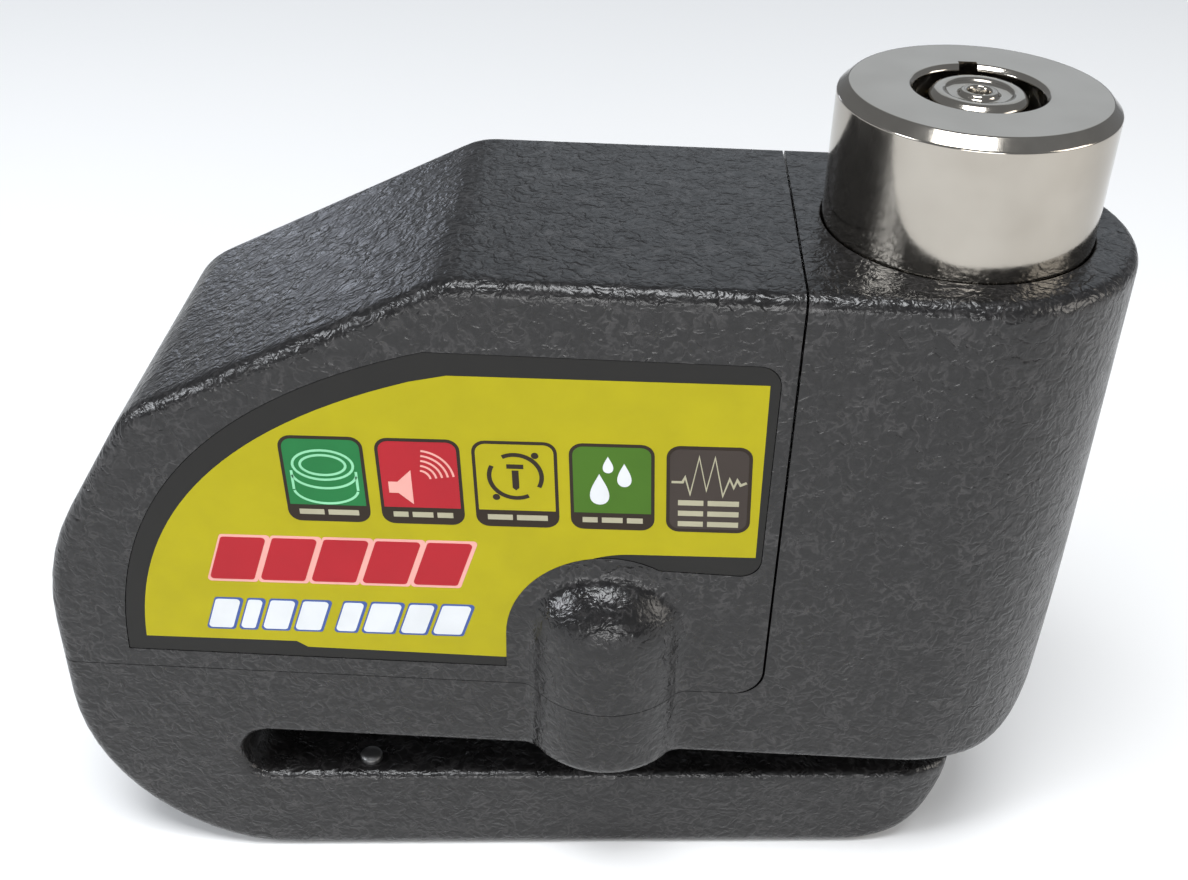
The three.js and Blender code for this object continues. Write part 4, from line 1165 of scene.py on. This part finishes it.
def build_plug():
    """The plug, whose post has a raised ring and a rim round a small well, and the cam pin below it."""
    cam_foot, top = levels_mm("plug_spindle")
    stem_foot, shoulder = 57.2, 70
    stem_radius, deck_radius = 3.5, 6.2
    profile = eased([
        (0, stem_foot),
        (stem_radius, stem_foot),
        (stem_radius, shoulder),
        (deck_radius, shoulder),
        (deck_radius, PLUG_DECK_Z),
        (POST_RADIUS, PLUG_DECK_Z),
        (POST_RADIUS, top - 0.6),
        (POST_RADIUS - 0.6, top),
        (POST_RADIUS - 1.3, top),
        (POST_RADIUS - 1.7, top - 0.4),
        (1.9, top - 0.5),
        (1.6, top),
        (1.1, top),
        (0.8, top - 1.1),
        (0, top - 1.1),
    ], 0.25)
    plug = new_object("key_plug", turned_mesh("key_plug", LOCK_X, MID_Y, profile, 96), CHROME)
    holes = []
    for k in range(TUMBLERS):
        angle = (k + 0.5) / TUMBLERS * 2 * math.pi + math.pi / 2
        x = LOCK_X + TUMBLER_CIRCLE * math.cos(angle)
        y = MID_Y + TUMBLER_CIRCLE * math.sin(angle)
        holes.append(upright_bar(x, y, TUMBLER_HOLE_RADIUS, 73.7, PLUG_DECK_Z + 1, 24))
    cut_by(plug, *holes)
    off_axis = 0.95
    cam_outline = round_outline(LOCK_X - off_axis, MID_Y - off_axis, 1.2, 32)
    cam_mesh = prism_mesh("plug_cam", cam_outline, cam_foot, stem_foot + 0.3, "z")
    cam_pin = new_object("plug_cam", cam_mesh, HARD_STEEL)
    cam_pin.parent = plug
    finish_piece(plug, "plug", ("plug_spindle",))


def build_stud():
    low, high = box_mm("slot_stud")
    x, y = middle_mm("slot_stud")[:2]
    radius = (high[0] - low[0]) / 2
    rise = 0.55
    bevel = 0.15
    profile = [(0, low[2]), (radius - bevel, low[2]), (radius, low[2] + bevel)]
    profile += arc(0, high[2] - rise, radius, rise, 0, 90, 8)
    stud = new_object("slot_stud_pin", turned_mesh("slot_stud_pin", x, y, profile, 48), DULL_STEEL)
    finish_piece(stud, replaces=("slot_stud",))


def turned_piece(name, x, y, corners, material):
    return new_object(name, turned_mesh(name, x, y, eased(corners), 96), material)


def build_sleeve():
    bore, foot, top, step = 6.5, 66.3, 82.2, 77.3
    sleeve = turned_piece("sleeve_ring", LOCK_X, MID_Y, [
        (bore, foot),
        (SLEEVE_RADIUS, foot),
        (SLEEVE_RADIUS, top),
        (KEYWAY_RADIUS, top),
        (KEYWAY_RADIUS, step),
        (bore, step),
        (bore, foot),
    ], STEEL)
    finish_piece(sleeve, "barrel", ("lock_sleeve",))


def build_bushes():
    bore = PIN_RADIUS + 0.3
    for node in ("roof_bush", "jaw_bush"):
        foot, top = levels_mm(node)
        corners = [(bore, foot), (BUSH_RADIUS, foot), (BUSH_RADIUS, top), (bore, top), (bore, foot)]
        guide = turned_piece(node + "_ring", LOCK_X, MID_Y, corners, HARD_STEEL)
        finish_piece(guide, replaces=(node,))


def build_pin():
    """The locking pin: a tapered foot, and a neck on top with a cross hole for the dowel."""
    foot, top = levels_mm("lock_pin")
    neck, neck_radius = top - 2.7, 2
    pin = turned_piece("locking_pin", LOCK_X, MID_Y, [
        (0, foot),
        (PIN_RADIUS - 1.4, foot),
        (PIN_RADIUS, foot + 1.8),
        (PIN_RADIUS, neck),
        (neck_radius, neck),
        (neck_radius, top),
        (0, top),
    ], HARD_STEEL)
    cross_hole = round_outline(LOCK_X, top - 1.1, 0.8, 32)
    cut_by(pin, prism_mesh("cross_hole", cross_hole, MID_Y - 9, MID_Y + 9))
    finish_piece(pin, "barrel", ("lock_pin",))


def build_screw():
    """The cover's screw, head down in the slot's roof, with a hexagon socket."""
    foot, top = levels_mm("cover_screw")
    head_top, bevel = foot + 3.4, 0.3
    screw = turned_piece("socket_screw", BOSS_X, SCREW_Y, [
        (0, foot),
        (SCREW_HEAD_RADIUS - bevel, foot),
        (SCREW_HEAD_RADIUS, foot + bevel),
        (SCREW_HEAD_RADIUS, head_top),
        (SCREW_RADIUS, head_top),
        (SCREW_RADIUS, top - 0.8),
        (SCREW_RADIUS - 0.6, top),
        (0, top),
    ], STEEL)
    cut_by(screw, upright_bar(BOSS_X, SCREW_Y, SOCKET_RADIUS, foot - 1, foot + 1.8, 6))
    finish_piece(screw, replaces=("cover_screw",))


def build_spring():
    """The barrel's return spring, as a smooth coil of one fixed length with a mesh of its own; on the
    real lock the barrel squashes it towards its foot.
    """
    low, high = box_mm("barrel_spring")
    wire = 0.7
    radius = (high[0] - low[0]) / 2 - wire
    foot, top = low[2] + wire, high[2] - wire
    turns = 5
    ring, steps = 14, 240
    vertices, faces = [], []
    for i in range(steps + 1):
        t = i / steps
        angle = 2 * math.pi * turns * t
        out = Vector((math.cos(angle), math.sin(angle), 0))
        centre = Vector((LOCK_X, MID_Y, foot + (top - foot) * t)) + out * radius
        for u, v in round_outline(0, 0, wire, ring):
            vertices.append((centre + out * u + Vector((0, 0, v))) * MM)
    for i in range(steps):
        for k in range(ring):
            n = (k + 1) % ring
            a, b = i * ring, (i + 1) * ring
            faces.append((a + k, a + n, b + n, b + k))
    faces += [tuple(range(ring)), tuple(range(steps * ring, (steps + 1) * ring))]
    mesh = bpy.data.meshes.new("return_spring")
    mesh.from_pydata(vertices, [], faces)
    outward(mesh)
    spring = new_object("return_spring", mesh, STEEL)
    finish_piece(spring, replaces=("barrel_spring",))
    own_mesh(spring)


# ---- camera, light, floor

def build_camera():
    """In front of the label face, close, looking down at it by about 34 degrees."""
    pitch = 0.5893
    yaw = -0.0255
    roll = 0.0302
    eye = Vector((LOCK_X - 30.13, MID_Y - 126.04, 130.32)) * MM
    forward = Vector((math.sin(yaw) * math.cos(pitch), math.cos(yaw) * math.cos(pitch), -math.sin(pitch)))
    level = Vector((math.cos(yaw), -math.sin(yaw), 0))
    raised = level.cross(forward)
    right = math.cos(roll) * level + math.sin(roll) * raised
    up = -math.sin(roll) * level + math.cos(roll) * raised
    data = bpy.data.cameras.new("camera")
    data.sensor_fit = "HORIZONTAL"
    data.sensor_width = 36
    data.lens = 44.02
    data.clip_start = 0.005
    camera = bpy.data.objects.new("camera", data)
    turn = Matrix((right, up, -forward)).transposed()
    camera.matrix_world = Matrix.Translation(eye) @ turn.to_4x4()
    bpy.context.scene.collection.objects.link(camera)
    bpy.context.scene.camera = camera


def area_light(name, place, size, power, colour):
    """A rectangular soft light that faces the lock."""
    target = Vector((0, 0, 0.035))
    data = bpy.data.lights.new(name, "AREA")
    data.shape = "RECTANGLE"
    data.size, data.size_y = size
    data.energy = power
    data.color = colour
    lamp = bpy.data.objects.new(name, data)
    lamp.location = place
    lamp.rotation_euler = (target - Vector(place)).to_track_quat("-Z", "Y").to_euler()
    bpy.context.scene.collection.objects.link(lamp)


def build_lights():
    bpy.context.scene.view_settings.view_transform = "Standard"
    world = bpy.data.worlds.new("studio")
    world.use_nodes = True
    background = world.node_tree.nodes["Background"]
    background.inputs["Color"].default_value = (0.9, 0.94, 1.0, 1)
    background.inputs["Strength"].default_value = 0.3
    bpy.context.scene.world = world
    area_light("overhead", (-0.05, -0.2, 0.65), (0.34, 0.2), 3.6, (0.96, 0.98, 1))
    area_light("behind", (0.24, 0.85, 0.55), (0.9, 0.6), 1.0, (0.84, 0.92, 1))
    area_light("back_left", (-0.42, 0.76, 0.11), (0.13, 0.13), 0.14, (0.8, 0.86, 1))
    area_light("left_front", (-0.6, -0.27, 0.37), (0.2, 0.2), 2.2, (0.93, 0.96, 1))
    area_light("right", (0.55, -0.15, 0.25), (0.3, 0.3), 1.3, (1, 0.95, 0.88))
    area_light("low_front", (0.0, -0.7, 0.13), (0.4, 0.14), 1.6, (1, 1, 1))


def build_floor():
    """A sheet of pale paper, a hair below the lock's base, with painted shade that darkens it away from
    the lock.
    """
    floor = bpy.data.meshes.new("floor")
    half = 1.5
    drop = -0.05 * MM
    corners = [(-half, -half, drop), (half, -half, drop), (half, half, drop), (-half, half, drop)]
    floor.from_pydata(corners, [], [(0, 1, 2, 3)])
    n = Nodes("floor_paper").set(Roughness=0.9)
    reach = n.add("ShaderNodeVectorMath", operation="LENGTH")
    n.link(n.place, reach.inputs[0])
    falloff_reach = n.math("ADD", reach.outputs["Value"], n.math("MULTIPLY", n.noise(60), 0.02))
    # Painted shade: the paper's colour falls from pale to grey with distance from the lock, as falling
    # light would darken it, with a little random mottle at the edge.
    n.colour(n.ramp(falloff_reach, (0.38, (0.9,) * 3), (0.85, (0.65,) * 3)))
    ground = new_object("floor", floor, n.material)


build_camera()
build_lights()
build_floor()
finish_cad_nodes()
margin = 1.5
envelope = net_mesh(
    "envelope",
    envelope_field,
    (LEFT - margin, body_low[1] - margin, -margin),
    (RIGHT + margin, BACK + margin, BODY_TOP + margin),
)
build_cover(envelope.copy())
build_body(envelope)
build_label()
build_barrel()
build_plug()
build_stud()
build_sleeve()
build_bushes()
build_pin()
build_screw()
build_spring()
